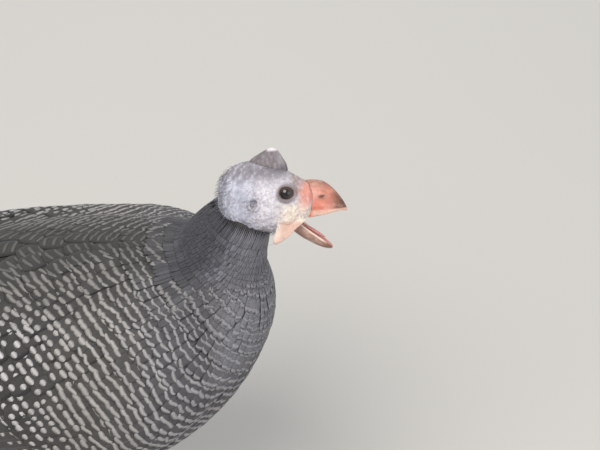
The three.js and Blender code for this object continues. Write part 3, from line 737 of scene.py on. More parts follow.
def coat_plan(lie):
    """Every feather of the coat: where it roots and the room it has there."""
    made = []
    for k, (start, gap, around) in enumerate(coat_rows(lie)):
        spoke = row_round(around, k, lie.spokes, 0.04)
        ring = start + rng.normal(0, 0.2, around)
        made.append([ring, spoke, *(np.full(around, each) for each in (gap, k, lie.spokes / around))])
    ring, spoke, spacing, row, share = map(np.concatenate, zip(*made))
    ring = np.maximum(ring + ROW_WANDER * drift(ring, spoke, 34, 0) * spacing / (9 * MM), 0)
    _, _, pace, width, _ = lie.frame(ring, spoke)
    root = lie.place(ring, spoke)
    place = (np.round(ring).astype(int).clip(0, len(coat_from) - 1), np.round(spoke).astype(int) % lie.spokes)
    return {
        "ring": ring, "spoke": spoke, "row": row, "root": root,
        "gap": spacing * (pace / lie.frame(ring, np.full_like(ring, lie.spokes / 4))[2]),
        "apart": width * share, "turn": degrees_round(spoke, lie.spokes),
        "x": (root[:, 0] - SHIFT) / MM, "z": root[:, 2] / MM, "own": coat_from[place] < RINGS - 1,
    }


plan = coat_plan(coat_lie)
count = len(plan["ring"])
x_mm, z_mm, turn = plan["x"], plan["z"], plan["turn"]

# Zones, each from 0 to 1
necky = smooth(z_mm, 228, 250) * smooth(x_mm, 98, 116)
napey = necky * smooth(turn, 80, 130)
backy = smooth(turn, 130, 164) * (1 - necky)
fronty = smooth(x_mm, 84, 120) * (1 - necky)
plain = smooth(x_mm, 126, 142) * smooth(z_mm, 188, 212) * (1 - smooth(turn, 100, 130)) * (1 - necky)
dotty = (1 - smooth(x_mm, 50, 94)) * (1 - smooth(turn, 146, 170))
near_neck = 1 - smooth(plan["ring"], 30, 72)
rear = 1 - smooth(x_mm, 30, 74)
patchy = drift(plan["ring"], plan["spoke"], 17, 50)

# How lines of bars climb from feather to feather on the back, and how far they have come at each feather
steps = np.linspace(0, 180, 361)
climb = curve(*zip(*BACK_SHEAR))
phase = np.interp(turn, steps, np.cumsum(climb(steps)) * (steps[1] * FEATHERS_ROUND / 360))
shear = climb(turn) * np.where(plan["spoke"] % SPOKES < SPOKES / 2, 1, -1)

streak = rng.random(count)
neck_tone = tinted(
    TONES["neck"], (0.75 * streak ** 2 * (1 - 0.6 * napey), TONES["neck light"]),
    (napey * 0.8, TONES["nape"]), (0.8 * (1 - smooth(turn, 50, 105)), TONES["throat"]))
base = tinted(
    TONES["middle"], (fronty, TONES["front"]), (rear, TONES["rear"]), (backy, TONES["back"]),
    (plain, TONES["breast"]), (necky, neck_tone))
base = base * (1 + rng.normal(0, 0.04, count) + 0.05 * patchy)[:, None]
light = tinted(
    TONES["middle bar"], (fronty, TONES["front bar"]), (rear, TONES["rear spot"]),
    (backy, TONES["back spot"]), (plain, TONES["breast bar"]),
    (np.maximum(0.6 * near_neck, 0.68 * smooth(turn, 162, 178)), base))

MAP_EDGE = 0.02  # the coat's patches fill the map for baking, apart from this edge
STRAIGHT_BACK = -0.88  # feathers that face further back than this lie under the tail and are left out
length = np.clip(plan["gap"] * (2.3 + 0.5 * necky), (11 - 3 * necky) * MM, 30 * MM)
midline = smooth(turn, 150, 172) * (1 - necky)
half = plan["apart"] * (0.84 - 0.14 * necky + 0.45 * midline)
yaw = rng.normal(0, 0.025, count) + 0.04 * drift(plan["ring"], plan["spoke"], 30, 90)
level = np.where(np.arange(count) % 2 == 0, 0.035, -0.035) * MM  # neighbours lie at two levels, so none cross
depth = COAT_DEPTH * MM * (0.72 - 0.2 * necky)
tip = 0.12 * MM + 0.2 * MM * necky + level + rng.normal(0, 0.025 * MM, count)
coat = lay_feathers(coat_lie, plan["ring"], plan["spoke"], length, half, -depth + level, tip, yaw)
on_map = np.stack([(plan["spoke"] / SPOKES) % 1, plan["ring"] / (RINGS + TIP_RINGS)], -1)
patch = MAP_EDGE + (1 - 2 * MAP_EDGE) * on_map
wanted = (coat["out"][:, 0, 0] > STRAIGHT_BACK) & plan["own"]


def part_of(lay, chosen):
    """The same lay with only the chosen feathers."""
    return {key: (value if key == "steps" else value[chosen]) for key, value in lay.items()}


# Marks: bars across each feather, and further back two lines of round spots on either side of the shaft. Each
# feather has one line more than its own room takes, which shows between the tips of the row above it.
DOT = 1.95  # a spot's radius in millimetres
BAR_WIDE = 0.8  # a bar's half length for each feather's room, so that it runs to the vane's edge
BAR_LONG = 0.235  # and its half width for each pitch
LINES_MOST = 6


def mark_lines(lay, which, gap, apart, row, pitch, spotted, dot=DOT, shear=0.0, phase=0.0):
    """Bars and spots for the feathers in which: their owners' places in it, and the marks themselves.

    shear is how many pitches a line of bars moves on from feather to feather, and phase where it is by now.
    """
    gap, pitch, spotted, shear, phase = (
        np.broadcast_to(some, len(which)) for some in (gap, pitch, spotted, shear, phase))
    number = np.clip(np.round(gap / (pitch * MM)), 1, LINES_MOST - 1)
    lines = [np.flatnonzero(number >= i) for i in range(LINES_MOST)]
    order = np.concatenate([np.full(len(some), float(i)) for i, some in enumerate(lines)])
    own = np.concatenate(lines)
    n = len(own)
    each, apart, length = (gap / number)[own], apart[own], lay["length"][which[own]]
    wander = rng.normal(0, 1, (6, n))
    spot = np.clip(spotted[own] + 0.12 * wander[5] * (spotted[own] > 0), 0, 1)
    bar = 1 - spot
    aside = np.where((order + row[own]) % 2 == 0, 0.25, -0.25)
    marks = {
        "across": apart * (aside * smooth(spot, 0.3, 0.9) + 0.03 * wander[0]),
        "v": 1 - (order + (0.5 - phase[own]) % 1 + 0.05 * wander[1]) * each / length,
        "wide": (BAR_WIDE * apart * bar + dot * MM * spot) * (1 + 0.07 * wander[2]),
        "long": (each * BAR_LONG * bar + dot * 0.94 * MM * spot) * (1 + 0.08 * wander[3]),
        "bow": 0.1 * each * bar,
        "tilt": 0.4 * MM * wander[4] * bar,
        "wave": 0.3 * MM * wander[5] * bar,
        "blunt": 2 + 2.4 * bar,
    }
    room = lay["half"].max(1)[which[own]] * np.interp(marks["v"], VANE_STEPS, VANE_OUTLINE)
    marks["wide"] = np.minimum(marks["wide"], 0.97 * (room - np.abs(marks["across"])))
    marks["tilt"] = marks["tilt"] - shear[own] * bar * each * marks["wide"] / apart
    keep = (marks["v"] > 0.2) & (rng.random(n) > 0.01)
    return own[keep], {key: value[keep] for key, value in marks.items()}


on_body = necky <= 0.5
on_left = plan["root"][:, 1] > 0
sections = {
    "neck": ~on_body, "breast": on_body & (x_mm > 96), "right": on_body & (x_mm <= 96) & ~on_left,
    "left": on_body & (x_mm <= 96) & on_left,
}
for name, inside in sections.items():
    chosen = inside & wanted
    piece = vane_piece("coat_" + name, part_of(coat, chosen), base[chosen], patch[chosen])
    settle(piece, contour_vane, "plumage")
    which = np.flatnonzero(chosen & (necky < 0.55))
    pitch = bar_pitch(x_mm) * (1 - backy) + BACK_PITCH * backy
    spotted = np.clip(dotty + 0.22 * patchy * (dotty > 0), 0, 1)
    owned = (some[which] for some in (plan["gap"], plan["apart"], plan["row"], pitch, spotted))
    own, marks = mark_lines(coat, which, *owned, shear=shear[which], phase=phase[which])
    spots = mark_piece("pearls_" + name, coat, which[own], marks, uneven(light[which[own]], len(own)),
                       patch[which[own]])
    settle(spots, pearl_mark, "plumage")

# Wings: tiers of stiff feathers that come out from under the coat, each tucked under the one above it

FLIGHT_STEPS = np.array([0, 0.12, 0.26, 0.4, 0.54, 0.67, 0.78, 0.87, 0.94, 0.98, 1.0])
FLIGHT_OUTLINE = np.array([0.5, 0.8, 0.95, 1, 1, 0.98, 0.92, 0.8, 0.58, 0.36, 0.14])
FLIGHT_ACROSS = np.array([-1.0, -0.62, -0.25, 0, 0.25, 0.62, 1.0])
FLIGHT_THICK = 0.4 * MM
FLIGHT_BASE, FLIGHT_SPOT, QUILL = (colour(code) for code in ("#403d3b", "#b4b0ac", "#625c55"))
QUILL_ACROSS = np.array([-1.0, 0, 1.0])
QUILL_HIGH = 0.3 * MM
# Each tier's feathers from the uppermost down: where the first and the last root and end, back and in degrees
# round, their half width and how high they lie over the sheet at root and tip
TIERS = {
    "primaries": dict(count=8, back=[(138, 118), (274, 238)], turn=[(84, 106), (70, 101)], half=6.0,
                      level=(0.6, 1.2)),
    "secondaries": dict(count=13, back=[(154, 106), (260, 204)], turn=[(38, 106), (44, 109)], half=7.6,
                        level=(2.2, 4.0)),
    "coverts": dict(count=15, back=[(150, 112), (222, 168)], turn=[(36, 105), (37, 110)], half=7.0,
                    level=(2.6, 5.6)),
    "tertials": dict(count=8, back=[(160, 156), (226, 240)], turn=[(10, 38), (8, 37)], half=8.0,
                     level=(-1, 5.8), clear=1.3),
}
UPPER_SPOTS = dict(pitch=5.6, tone=TONES["rear"] * 1.08)
TIER_SPOTS = {
    "primaries": dict(size=0.9),
    "secondaries": dict(size=1.1, first=0.2),
    "coverts": dict(size=1.4, first=0.06, columns=(-0.55, 0.1), **UPPER_SPOTS),
    "tertials": dict(size=1.3, first=0.04, columns=(-0.6, -0.05, 0.5), **UPPER_SPOTS),
}
TIER_TILT = 0.15
form_tree = BVHTree.FromObject(body_form, bpy.context.evaluated_depsgraph_get())


def lifted(rows, clear):
    """The rows moved out where they come nearer than clear, in metres, to the form or lie inside it."""
    rows = np.array(rows)
    for index in np.ndindex(rows.shape[:-1]):
        spot, facing, _, _ = form_tree.find_nearest(Vector(rows[index]))
        short = clear[index] - (Vector(rows[index]) - spot).dot(facing)
        if short > 0:
            rows[index] += np.array(facing) * short
    return rows


def spined(spine, out, half, low=None):
    """A lay from ready spines: the ways across follow from those out, and the side that is low is raised."""
    along = unit(np.gradient(spine, axis=1))
    side = unit(np.cross(out, along))
    out = np.cross(along, side)
    if low is not None:
        side = side + out * TIER_TILT * np.sign((side * low).sum(-1, keepdims=True))
    reach = np.linalg.norm(np.diff(spine, axis=1), axis=-1).sum(1)
    half = half * MM * FLIGHT_OUTLINE[None, :]
    return {"spine": spine, "side": side, "out": out, "half": half, "steps": FLIGHT_STEPS, "length": reach}


def wing_tier(side, count, back, turn, half, level, clear=0):
    share = np.linspace(0, 1, count)[:, None]
    t = FLIGHT_STEPS[None, :]
    backs, turns = (
        (root[0] + (root[1] - root[0]) * share) * (1 - t) + (end[0] + (end[1] - end[0]) * share) * t
        for root, end in (back, turn))
    levels = level[0] + (level[1] - level[0]) * np.minimum(1, t * 1.4) + np.zeros_like(backs)
    backs = backs + rng.normal(0, 1.2, (count, 1)) * t
    spine = wing_place(side, backs, turns, levels)
    down = wing_place(side, backs, turns + 1.5, levels) - spine
    ahead = wing_place(side, backs - 1.5, turns, levels) - spine
    if clear:
        spine = lifted(spine, (-3 + (clear + 3) * smooth(t, 0, 0.45) + np.zeros_like(backs)) * MM)
    out = unit(np.cross(ahead, down) * side)
    return spined(spine, out, half * (1 + rng.normal(0, 0.03, (count, 1))), down)


def quills(lay):
    """The shafts of a lay's feathers as a lay of narrow vanes."""
    half = np.broadcast_to(0.42 * MM * (1.15 - lay["steps"])[None, :], lay["half"].shape)
    return {**lay, "spine": lay["spine"] + lay["out"] * QUILL_HIGH, "half": half}


def flight_marks(lay, pitch=5.0, first=0.3, columns=(-0.62, -0.12, 0.5), size=1.0):
    """Rows of small pale spots down each flight feather."""
    owner, across, v = [], [], []
    for k, reach in enumerate(lay["length"]):
        steps = np.arange(first, 0.97, pitch * MM / reach)
        for n, c in enumerate(columns):
            spot = steps + (0.5 * pitch * MM / reach if n % 2 else 0)
            spot = spot[spot < 0.975]
            here = np.interp(spot, lay["steps"], lay["half"][k])
            owner += [k] * len(spot)
            across += list(c * here + rng.normal(0, 0.15 * MM, len(spot)))
            v += list(spot + rng.normal(0, 0.4 * MM / reach, len(spot)))
    n = len(owner)
    wide, long = (size * half * MM * (1 + rng.normal(0, 0.12, n)) for half in (1.3, 0.95))
    return np.array(owner), {"across": np.array(across), "v": np.array(v), "wide": wide, "long": long,
                             "bow": 0.3 * MM, "tilt": rng.normal(0, 0.15 * MM, n), "blunt": 2.4}


def stiff_feathers(name, lay, corner, tone=FLIGHT_BASE, **spots):
    """Vanes, quills and spots of one tier, with their patches at a corner of the map. Returns its pieces."""
    n = len(lay["length"])
    tones = uneven(tone, n)
    patch = np.array(corner) + rng.random((n, 2)) * 0.05
    made = [
        vane_piece(name, lay, tones, patch, FLIGHT_THICK, FLIGHT_ACROSS),
        vane_piece(name + "_quills", quills(lay), QUILL, patch, 0.5 * MM, QUILL_ACROSS),
    ]
    owner, marks = flight_marks(lay, **spots)
    pale = uneven(FLIGHT_SPOT, len(owner), 0.08)
    made.append(mark_piece(name + "_spots", lay, owner, marks, pale, patch[owner], lift=FLIGHT_THICK * 0.62))
    for piece, material in zip(made, (flight_vane, flight_vane, pearl_mark)):
        settle(piece, material, "flight")
    return made


def one_piece(name, made, node):
    """Joins finished pieces into one that replaces the node."""
    only(*made)
    bpy.ops.object.join()
    piece = bpy.context.object
    piece.name = name
    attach(piece, "root")
    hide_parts(node)


for side, name in SIDES:
    made = []
    for tier, shape in TIERS.items():
        corner = (0.3 if side < 0 else 0.7, 0.9)
        made += stiff_feathers(f"{tier}_{name}", wing_tier(side, **shape), corner, **TIER_SPOTS[tier])
    one_piece("flight_feathers_" + name, made, "wing_" + name)

# Tail: short, drooping, its feathers stacked from the middle pair down, with coverts above and below

tail_axes = np.array(
    Matrix.Rotation(math.radians(180 - TAIL_DROOP), 3, "Y") @ Matrix.Rotation(math.pi, 3, "X"))
tail_root = np.array(at(*TAIL_AT))
TAIL_ROOT = 4  # how far down the tail its feathers root
TAIL_SAG = 5  # how far their tips hang below a straight line
TAIL_CUT = 30  # how far down the rump's flesh ends
# Each tier's feathers, the degrees and millimetres between them, their reach and half width, how high the
# middle one lies, how far each next one drops, and the share by which it is shorter
TAIL_TIERS = {
    "tail_quills": (14, 2.0, 1.95, 122, 9.0, 0, 1.0, 0.018),
    "tail_coverts_upper": (9, 2.8, 3.6, 84, 8.6, 3.4, 0.9, 0.03),
    "tail_coverts_top": (7, 3.0, 4.4, 54, 8.6, 6.2, 1.1, 0.03),
    "tail_coverts_under": (8, 2.8, 3.6, 72, 8.0, -5.5, 0.4, 0.03),
}


def tail_tier(count, spread, step, reach, half, level, drop, shorter):
    k = (np.arange(count) - (count - 1) / 2)[:, None]
    t = FLIGHT_STEPS[None, :]
    far = reach * (1 - shorter * np.abs(k)) * (1 + rng.normal(0, 0.01, (count, 1)))
    turn = np.radians(spread * k)
    x = TAIL_ROOT + far * t * np.cos(turn)
    y = step * k + far * t * np.sin(turn)
    z = level - drop * np.abs(k) - TAIL_SAG * t ** 2
    spine = np.stack([x, y, z], -1) * MM @ tail_axes.T + tail_root
    return spined(spine, np.broadcast_to(tail_axes[:, 2], spine.shape), np.full((count, 1), half))


made = []
for name, sizes in TAIL_TIERS.items():
    made += stiff_feathers(name, tail_tier(*sizes), (0.5, 0.93), columns=(-0.6, 0, 0.6))
rump_flesh = copy_of("tail")
cut(Vector(tail_root + tail_axes[:, 0] * TAIL_CUT * MM), Vector(tail_axes[:, 0]))
rump_skin = swell(melt("rump", [rump_flesh], 1.6, 6), -2.2)
paint(rump_skin, FLIGHT_BASE * 0.8)
settle(rump_skin, body_hide, "flight")
one_piece("tail_feathers", made, "tail")

# Rump and thighs: feathers round a line of their own


def tube(middle, down, deep, wide, spokes, beyond):
    """A lie round a line of places, with half its depth, along down, and half its width at each place."""
    turn = np.linspace(0, 2 * math.pi, spokes, endpoint=False)[None, :, None]
    grid = (middle[:, None] + deep[:, None, None] * np.cos(turn) * down[:, None]
            - wide[:, None, None] * np.sin(turn) * np.array([0, 1, 0]))
    return Lie(lengthened(grid, beyond), len(grid))


def rows_on(lie, first, spacing, around, jitter):
    """Rows of feathers evenly spaced along a lie: rings, spokes and row numbers."""
    made, start = [], first
    while start < lie.own - 3:
        k = len(made)
        ring = start + rng.normal(0, 0.2, around)
        made.append([ring, row_round(around, k, lie.spokes, jitter), np.full(around, k)])
        start += spacing / lie.pace(start, 1 / 2)
    return map(np.concatenate, zip(*made))


# The rump's feathers run from the back's end down over the root of the tail: its line, forward and up, and by
# the share of the line, its half width and half height
RUMP_LINE = [
    (-44, 229), (-60, 223.5), (-72, 218.6), (-84, 212.8), (-94, 206), (-102, 198), (-108, 189.5), (-114, 180),
    (-124, 170.5),
]
RUMP_WIDE = [(0, 27), (0.62, 25), (0.85, 21), (1, 17)]
RUMP_HIGH = [(0, 24), (0.62, 22), (0.85, 12), (1, 7)]
RUMP_RINGS = 90
RUMP_SPOKES = 96
RUMP_ROUND = 26
RUMP_ROW = 8.6
RUMP_FEATHER = 21
RUMP_TOP = 0.27  # the share of the round that has feathers, on either side of the top


def rump_feathers():
    crown = evenly_along([(x, 0, z) for x, z in RUMP_LINE], RUMP_RINGS)
    above = np.cross(unit(np.gradient(crown, axis=0)), (0, 1, 0))
    above *= np.sign(above[:, 2:])
    share = np.linspace(0, 1, RUMP_RINGS)
    wide, high = (curve(*zip(*keys))(share) * MM for keys in (RUMP_WIDE, RUMP_HIGH))
    lie = tube(crown - above * high[:, None], -above, high, wide, RUMP_SPOKES, TIP_RINGS)
    rows = list(rows_on(lie, 1.0, RUMP_ROW * MM, RUMP_ROUND, 0.03))
    top = np.abs(rows[1] / lie.spokes % 1 - 0.5) < RUMP_TOP
    ring, spoke, row = (some[top] for some in rows)
    n = len(ring)
    apart = lie.frame(ring, spoke)[3] * lie.spokes / RUMP_ROUND
    lay = lay_feathers(lie, ring, spoke, RUMP_FEATHER * MM, apart * 0.86, -2.4 * MM,
                       rng.normal(0.9, 0.04, n) * MM, rng.normal(0, 0.03, n))
    patch = np.stack([0.45 + 0.1 * (spoke / lie.spokes % 1), 0.05 + 0.1 * ring / RUMP_RINGS], -1)
    piece = vane_piece("coat_rump", lay, uneven(TONES["rear"], n), patch)
    settle(piece, contour_vane, "plumage")
    own, marks = mark_lines(lay, np.arange(n), RUMP_ROW * MM, apart, row, RUMP_ROW / 2, 0.8, 1.25)
    spots = mark_piece("pearls_rump", lay, own, marks, uneven(FLIGHT_SPOT, len(own)), patch[own])
    settle(spots, pearl_mark, "plumage")


rump_feathers()

THIGH_TOP = (19, 32, 142)  # forward, to the side and up
THIGH_GIRTH = [(0, 27), (0.5, 19), (1, 8.4)]  # share of the way to the hock, radius
THIGH_STRETCH = 1.18  # how much longer than wide it is, the way that THIGH_AHEAD says
THIGH_AHEAD = (0.92, 0, -0.38)
THIGH_RINGS, THIGH_SPOKES = 60, 72
THIGH_ROUND = 22
THIGH_ROW = 3.6
THIGH_FEATHER = 11


def thigh_feathers(side, name):
    """Short plain feathers down to the hock."""
    lo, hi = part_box("shank_" + name)
    hock = np.array([lo.x + 5.5 * MM, (lo.y + hi.y) / 2, hi.z - 1 * MM])
    top = np.array(at(THIGH_TOP[0], side * THIGH_TOP[1], THIGH_TOP[2]))
    knee = (top + hock) / 2 + np.array([5 * MM, 0, 0])
    share = np.linspace(0, 1, THIGH_RINGS)
    t = share[:, None]
    middle = top * (1 - t) ** 2 + 2 * knee * t * (1 - t) + hock * t ** 2
    radius = curve(*zip(*THIGH_GIRTH))(share) * MM
    lie = tube(middle, np.array([THIGH_AHEAD]), radius * THIGH_STRETCH, radius, THIGH_SPOKES, 12)
    ring, spoke, _ = rows_on(lie, 2.0, THIGH_ROW * MM, THIGH_ROUND, 0.08)
    n = len(ring)
    width = lie.frame(ring, spoke)[3] * lie.spokes / THIGH_ROUND
    tones = uneven(TONES["rear"] * 1.25, n, 0.08)
    lay = lay_feathers(lie, ring, spoke, THIGH_FEATHER * MM, width * 0.8, -1.2 * MM,
                       rng.normal(0.35, 0.12, n) * MM, rng.normal(0, 0.06, n))
    left = 0.3 * (side > 0)
    patch = np.stack([0.1 + left + 0.1 * (spoke / lie.spokes % 1), 0.05 + 0.1 * ring / lie.rings], -1)
    settle(vane_piece("coat_thigh_" + name, lay, tones, patch), contour_vane, "plumage")
    owner = np.flatnonzero(rng.random(n) > 0.25)
    marks = {"v": 0.86, "wide": 1.15 * MM, "long": 0.75 * MM, "bow": 0.2 * MM,
             "tilt": rng.normal(0, 0.2 * MM, len(owner)), "blunt": 2.2}
    dots = mark_piece("pearls_thigh_" + name, lay, owner, marks, TONES["middle bar"], patch[owner])
    settle(dots, pearl_mark, "plumage")


for side, name in SIDES:
    thigh_feathers(side, name)

# Skin of the body: torso, neck and thighs as one, sunk by the coat's depth

body_skin = melt("body_skin", [body_form, copy_of("thigh_right"), copy_of("thigh_left")], 2.2, 4)
swell(body_skin, -COAT_DEPTH * 0.9)
paint(body_skin, "#4a4846")
settle(body_skin, body_hide, "plumage", "torso", "neck", "thigh_right", "thigh_left")

# Head: the face and wattles are one skin, the helmet and bill are horn

head_axes = np.array(
    Matrix.Rotation(-math.radians(HEAD_PITCH), 3, "Y") @ Matrix.Rotation(-math.radians(HEAD_ROLL), 3, "X"))
head_origin = np.array(at(*HEAD_AT))
# In the head's own axes, in millimetres
EYE_AT = (0.4, 9.5, 0.4)
SOCKET_SUNK = 1.6
SOCKET_ROUND = 5.35
MOUTH_CORNER = (4.6, 8.3, -13.9)
CORNER_ROUND = 1.5
PALATE_AT = (5.2, 0, -13.2)  # the flesh at the back of the mouth
PALATE_SIZE = (3.6, 5.4, 3.2)
LID_OPENING = (3.8, 3.25)  # half width and half height between the lids
LID_SECTION = 0.8
LID_OVER = 0.35
LID_RING = 0.2  # the lids' ring is made of radius 1 and this section, and then shaped
EAR_AT = (-16.5, -4)


def in_head(rows):
    """Millimetres in the head's own axes: forward, left and up from between the eyes."""
    return (rows - head_origin) @ head_axes / MM


def from_head(rows):
    """Places from millimetres in the head's own axes."""
    return head_origin + np.asarray(rows) @ head_axes.T * MM


def noise_at(rows, size, octaves=3, stretch=(1, 1, 1)):
    """Soft noise from 0 to 1 over places in millimetres, with features of that size."""
    rows = rows * np.array(stretch)
    return np.array([0.5 + 0.5 * fractal(Vector(row) / size, 1.0, 2.0, octaves) for row in rows])


def bell(value, width, power=2):
    """1 at 0, falling off softly on both sides."""
    return np.exp(-(np.abs(value) / width) ** power)


def eye_of(name):
    """An eyeball's centre and radius."""
    lo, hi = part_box("eye_" + name)
    return (lo + hi) / 2, (hi.x - lo.x) / 2


def eyelids(side, name):
    """A thick rim over the eyeball, drawn in to an opening a little wider than tall."""
    centre, radius = eye_of(name)
    radius = radius / MM + LID_OVER
    bpy.ops.object.select_all(action="DESELECT")
    bpy.ops.mesh.primitive_torus_add(
        major_segments=72, minor_segments=18, major_radius=1, minor_radius=LID_RING)
    lid = bpy.context.object
    x, y, z = places(lid).T
    turn = np.arctan2(y, x)
    wide, tall = (half + LID_SECTION for half in LID_OPENING)
    reach = 1 / np.hypot(np.cos(turn) / wide, np.sin(turn) / tall)
    section = LID_SECTION * (1 + 0.2 * (np.sin(turn) < 0)) / LID_RING
    spread = reach + (np.hypot(x, y) - 1) * section
    rise = np.sqrt(radius ** 2 - reach ** 2) + z * section
    local = np.stack([spread * np.cos(turn), side * rise, spread * np.sin(turn)], -1) * MM
    move_to(lid, np.array(centre) + local @ head_axes.T)
    if side < 0:
        lid.data.flip_normals()
    return lid


def ball(x, y, z, radius):
    """A ball at a place in the head's axes."""
    bpy.ops.object.select_all(action="DESELECT")
    bpy.ops.mesh.primitive_ico_sphere_add(subdivisions=4, radius=radius * MM, location=from_head((x, y, z)))
    bpy.ops.object.transform_apply(location=True, rotation=True, scale=True)
    return bpy.context.object


def folds(side):
    """The flesh round an eyeball under its lids, and a small fold at the corner of the mouth."""
    (ex, ey, ez), (cx, cy, cz) = EYE_AT, MOUTH_CORNER
    return [ball(ex, side * (ey - SOCKET_SUNK), ez, SOCKET_ROUND), ball(cx, side * cy, cz, CORNER_ROUND)]


flesh = [swell(copy_of(node), 0.2) for node in ("head", "wattle_right", "wattle_left")]
flesh += [eyelids(side, name) for side, name in SIDES]
flesh += [fold for side, _ in SIDES for fold in folds(side)]
head_skin = melt("head_skin", flesh, 0.42, 2)
# The wattle's rear edge comes forward, so that the wattle is the narrow triangle of the photograph
rows_mm = in_head(places(head_skin))
x, y, z = rows_mm.T
hung = smooth(-z, 12.8, 15.5) * smooth(np.abs(y), 4, 6) * (1 - smooth(x, -4, 5))
rows_mm = rows_mm + (hung * (3.6 - 2.2 * smooth(-z, 15, 26)))[:, None] * np.array([1, 0, 0])
move_to(head_skin, from_head(rows_mm))
normal = facings(head_skin)

# Where things are on the face, and its relief of creases, wrinkles, rings round the eye and the ear's cup
x, y, z = rows_mm.T
aside = np.abs(y)
outer = smooth(aside, 6, 10)
eye_far = np.hypot(x - EYE_AT[0], z - EYE_AT[2])
eye_side = smooth(aside, 7, 9)
ear_far = np.hypot(x - EAR_AT[0], z - EAR_AT[1])
ear = bell(x + 16.2 - (z + 4.4) * 0.45, 1.3) * bell(z + 4.4, 2.8) * outer
wattled = smooth(-z, 13.5, 16.5) * smooth(x + 4.2 + 3.6 * smooth(-z, 15, 24), 0, 1.5) * smooth(aside, 4, 6)
crease = noise_at(rows_mm, 2.6, 3, (1, 1, 1.5))
grain = noise_at(rows_mm, 0.9, 2)
wrinkle = 1 - np.abs(noise_at(rows_mm + 15, 3.4, 2, (1.3, 1, 0.8)) - 0.5) * 4
relief = (crease - 0.5) * 0.6 + (grain - 0.5) * 0.3 * (1 - 0.4 * wattled) - smooth(wrinkle, 0.6, 1) * 0.22
relief += bell(eye_far - 6.6, 1.4) * smooth(aside, 8, 11) * 0.12 * np.sin(eye_far * 2 * math.pi / 1.15)
relief += (0.55 * bell(ear_far, 1.7) - 0.25 * bell(ear_far - 2.9, 0.8)) * outer
relief *= smooth(eye_far, 4.6, 5.8) * (1 - 0.5 * wattled) * (1 - 0.7 * smooth(x, 6.5, 9.5))
move_to(head_skin, places(head_skin) + normal * relief[:, None] * MM)
blotch = noise_at(rows_mm + 40, 6, 3)
fine = noise_at(rows_mm + 90, 1.6, 2, (1, 1, 0.5))
fold = noise_at(rows_mm + 60, 2.4, 2, (1, 1, 0.35))
hind = smooth(-x, 10, 19)
paint(head_skin, tinted(
    "#d3cdd4",
    (smooth(-x, 12, 24), "#b3b6c6"),
    (smooth(-x, 24, 33) * smooth(z, -16, 2), "#a3a5b2"),
    (smooth(z, 4, 11.5) * smooth(-x, -8, 2), "#7f787f"),
    (smooth(x, 1, 5) * smooth(z, -3.5, 1.5), "#9c8d84"),
    (smooth(x, -9, 2) * smooth(-z, 2, 9), "#ecdccb"),
    (smooth(x, 4.5, 9.5) * smooth(z, -12, -3) * (1 - 0.75 * smooth(z, 2, 6)), "#dc9785"),
    (smooth(blotch, 0.52, 0.75) * 0.35 * (1 - wattled), "#a9a3ae"),
    (smooth(fine, 0.5, 0.8) * 0.2 * (1 - wattled), "#f1edf3"),
    # Painted light on the folds' ridges and painted shade in their hollows at the back of the head; the
    # skin's shape has no such folds
    (smooth(fold, 0.5, 0.75) * 0.45 * hind, "#cfd1df"),
    (smooth(0.5 - fold, 0, 0.25) * 0.45 * hind, "#8d8f9d"),
    (smooth(0.55 - fine, 0.05, 0.3) * 0.18 * smooth(-x, -4, 6), "#8f8b96"),
    # Painted shade in the wrinkles' grooves, which the relief sinks along the same lines
    (smooth(wrinkle, 0.55, 0.95) * 0.34 * (1 - wattled), "#8d8692"),
    (wattled, "#cfae9f"),
    (wattled * smooth(-x, 1.5, 5.5), "#e6cdc0"),
    (wattled * smooth(blotch, 0.45, 0.7) * 0.5, "#c39c8c"),
    (wattled * smooth(-z, 22, 27) * 0.7, "#b98f80"),
    # Painted shade of the ear opening
    (ear * 0.8, "#726d77"),
    # Painted shade round the eye, deepest where the lids meet the eyeball in its socket
    (smooth(6.0 - eye_far, 0, 1.4) * eye_side * 0.6, "#8f868a"),
    (smooth(5.1 - eye_far, 0, 0.8) * eye_side * 0.7, "#6d6163"),
    (smooth(-aside, -12.9, -12.3) * smooth(4.6 - eye_far, 0, 0.8) * eye_side, "#5a5150"),
    (smooth(x, 1, 4) * smooth(-z, 12, 15.5) * (1 - smooth(aside, 6.2, 7.6)), "#c98d84"),
))
settle(head_skin, face_hide, "face_skin", "head", "wattle_right", "wattle_left")


def bristle_faces():
    """Triangles of a three-sided spike of two rings and a tip, closed at the root."""
    faces = [[0, 1, 2]]
    for k in range(3):
        m = (k + 1) % 3
        faces += [[k, k + 3, m + 3], [k, m + 3, m], [k + 3, 6, m + 3]]
    return faces


def grow_bristles(name, where, number, length, wide, lie, dark, pale):
    """Thin curved bristles at random over the head where the mask allows, leaning the way of the lie."""
    chance = where / where.sum()
    chosen = rng.choice(len(chance), number, replace=False, p=chance)
    roots, outs = places(head_skin)[chosen], normal[chosen]
    ways = np.array(lie, float) @ head_axes.T + rng.normal(0, 0.16, (number, 3)) + outs * 0.22
    ways = unit(ways - outs * np.minimum(0, (ways * outs).sum(-1, keepdims=True) - 0.12))
    tones = blend_rows(colour(dark), colour(pale), rng.random(number) ** 1.5)
    reach = (rng.uniform(*length, number) * MM)[:, None]
    across = unit(np.cross(ways, outs))
    rings = []
    for v, lift in ((0.0, -0.12), (0.5, 0.13)):
        middle = roots + ways * reach * v + outs * reach * lift
        for turn in (0, 2 * math.pi / 3, 4 * math.pi / 3):
            aim = across * math.cos(turn) + outs * math.sin(turn)
            rings.append(middle + aim * wide * MM * (1 - 0.5 * v))
    rings.append(roots + ways * reach + outs * reach * 0.1)
    piece = mesh_piece("bristles_" + name, np.stack(rings, 1), bristle_faces(), tones)
    spread = np.tile(np.linspace(0, 1, 7)[None, :, None], (number, 1, 2))
    unwrap(piece, "vane", spread)
    px, py, _ = rows_mm[chosen].T
    unwrap_patches(piece, spread, np.stack([0.5 + py / 80, 0.02 + 0.04 * (px + 35) / 50], -1))
    settle(piece, contour_vane, "plumage")


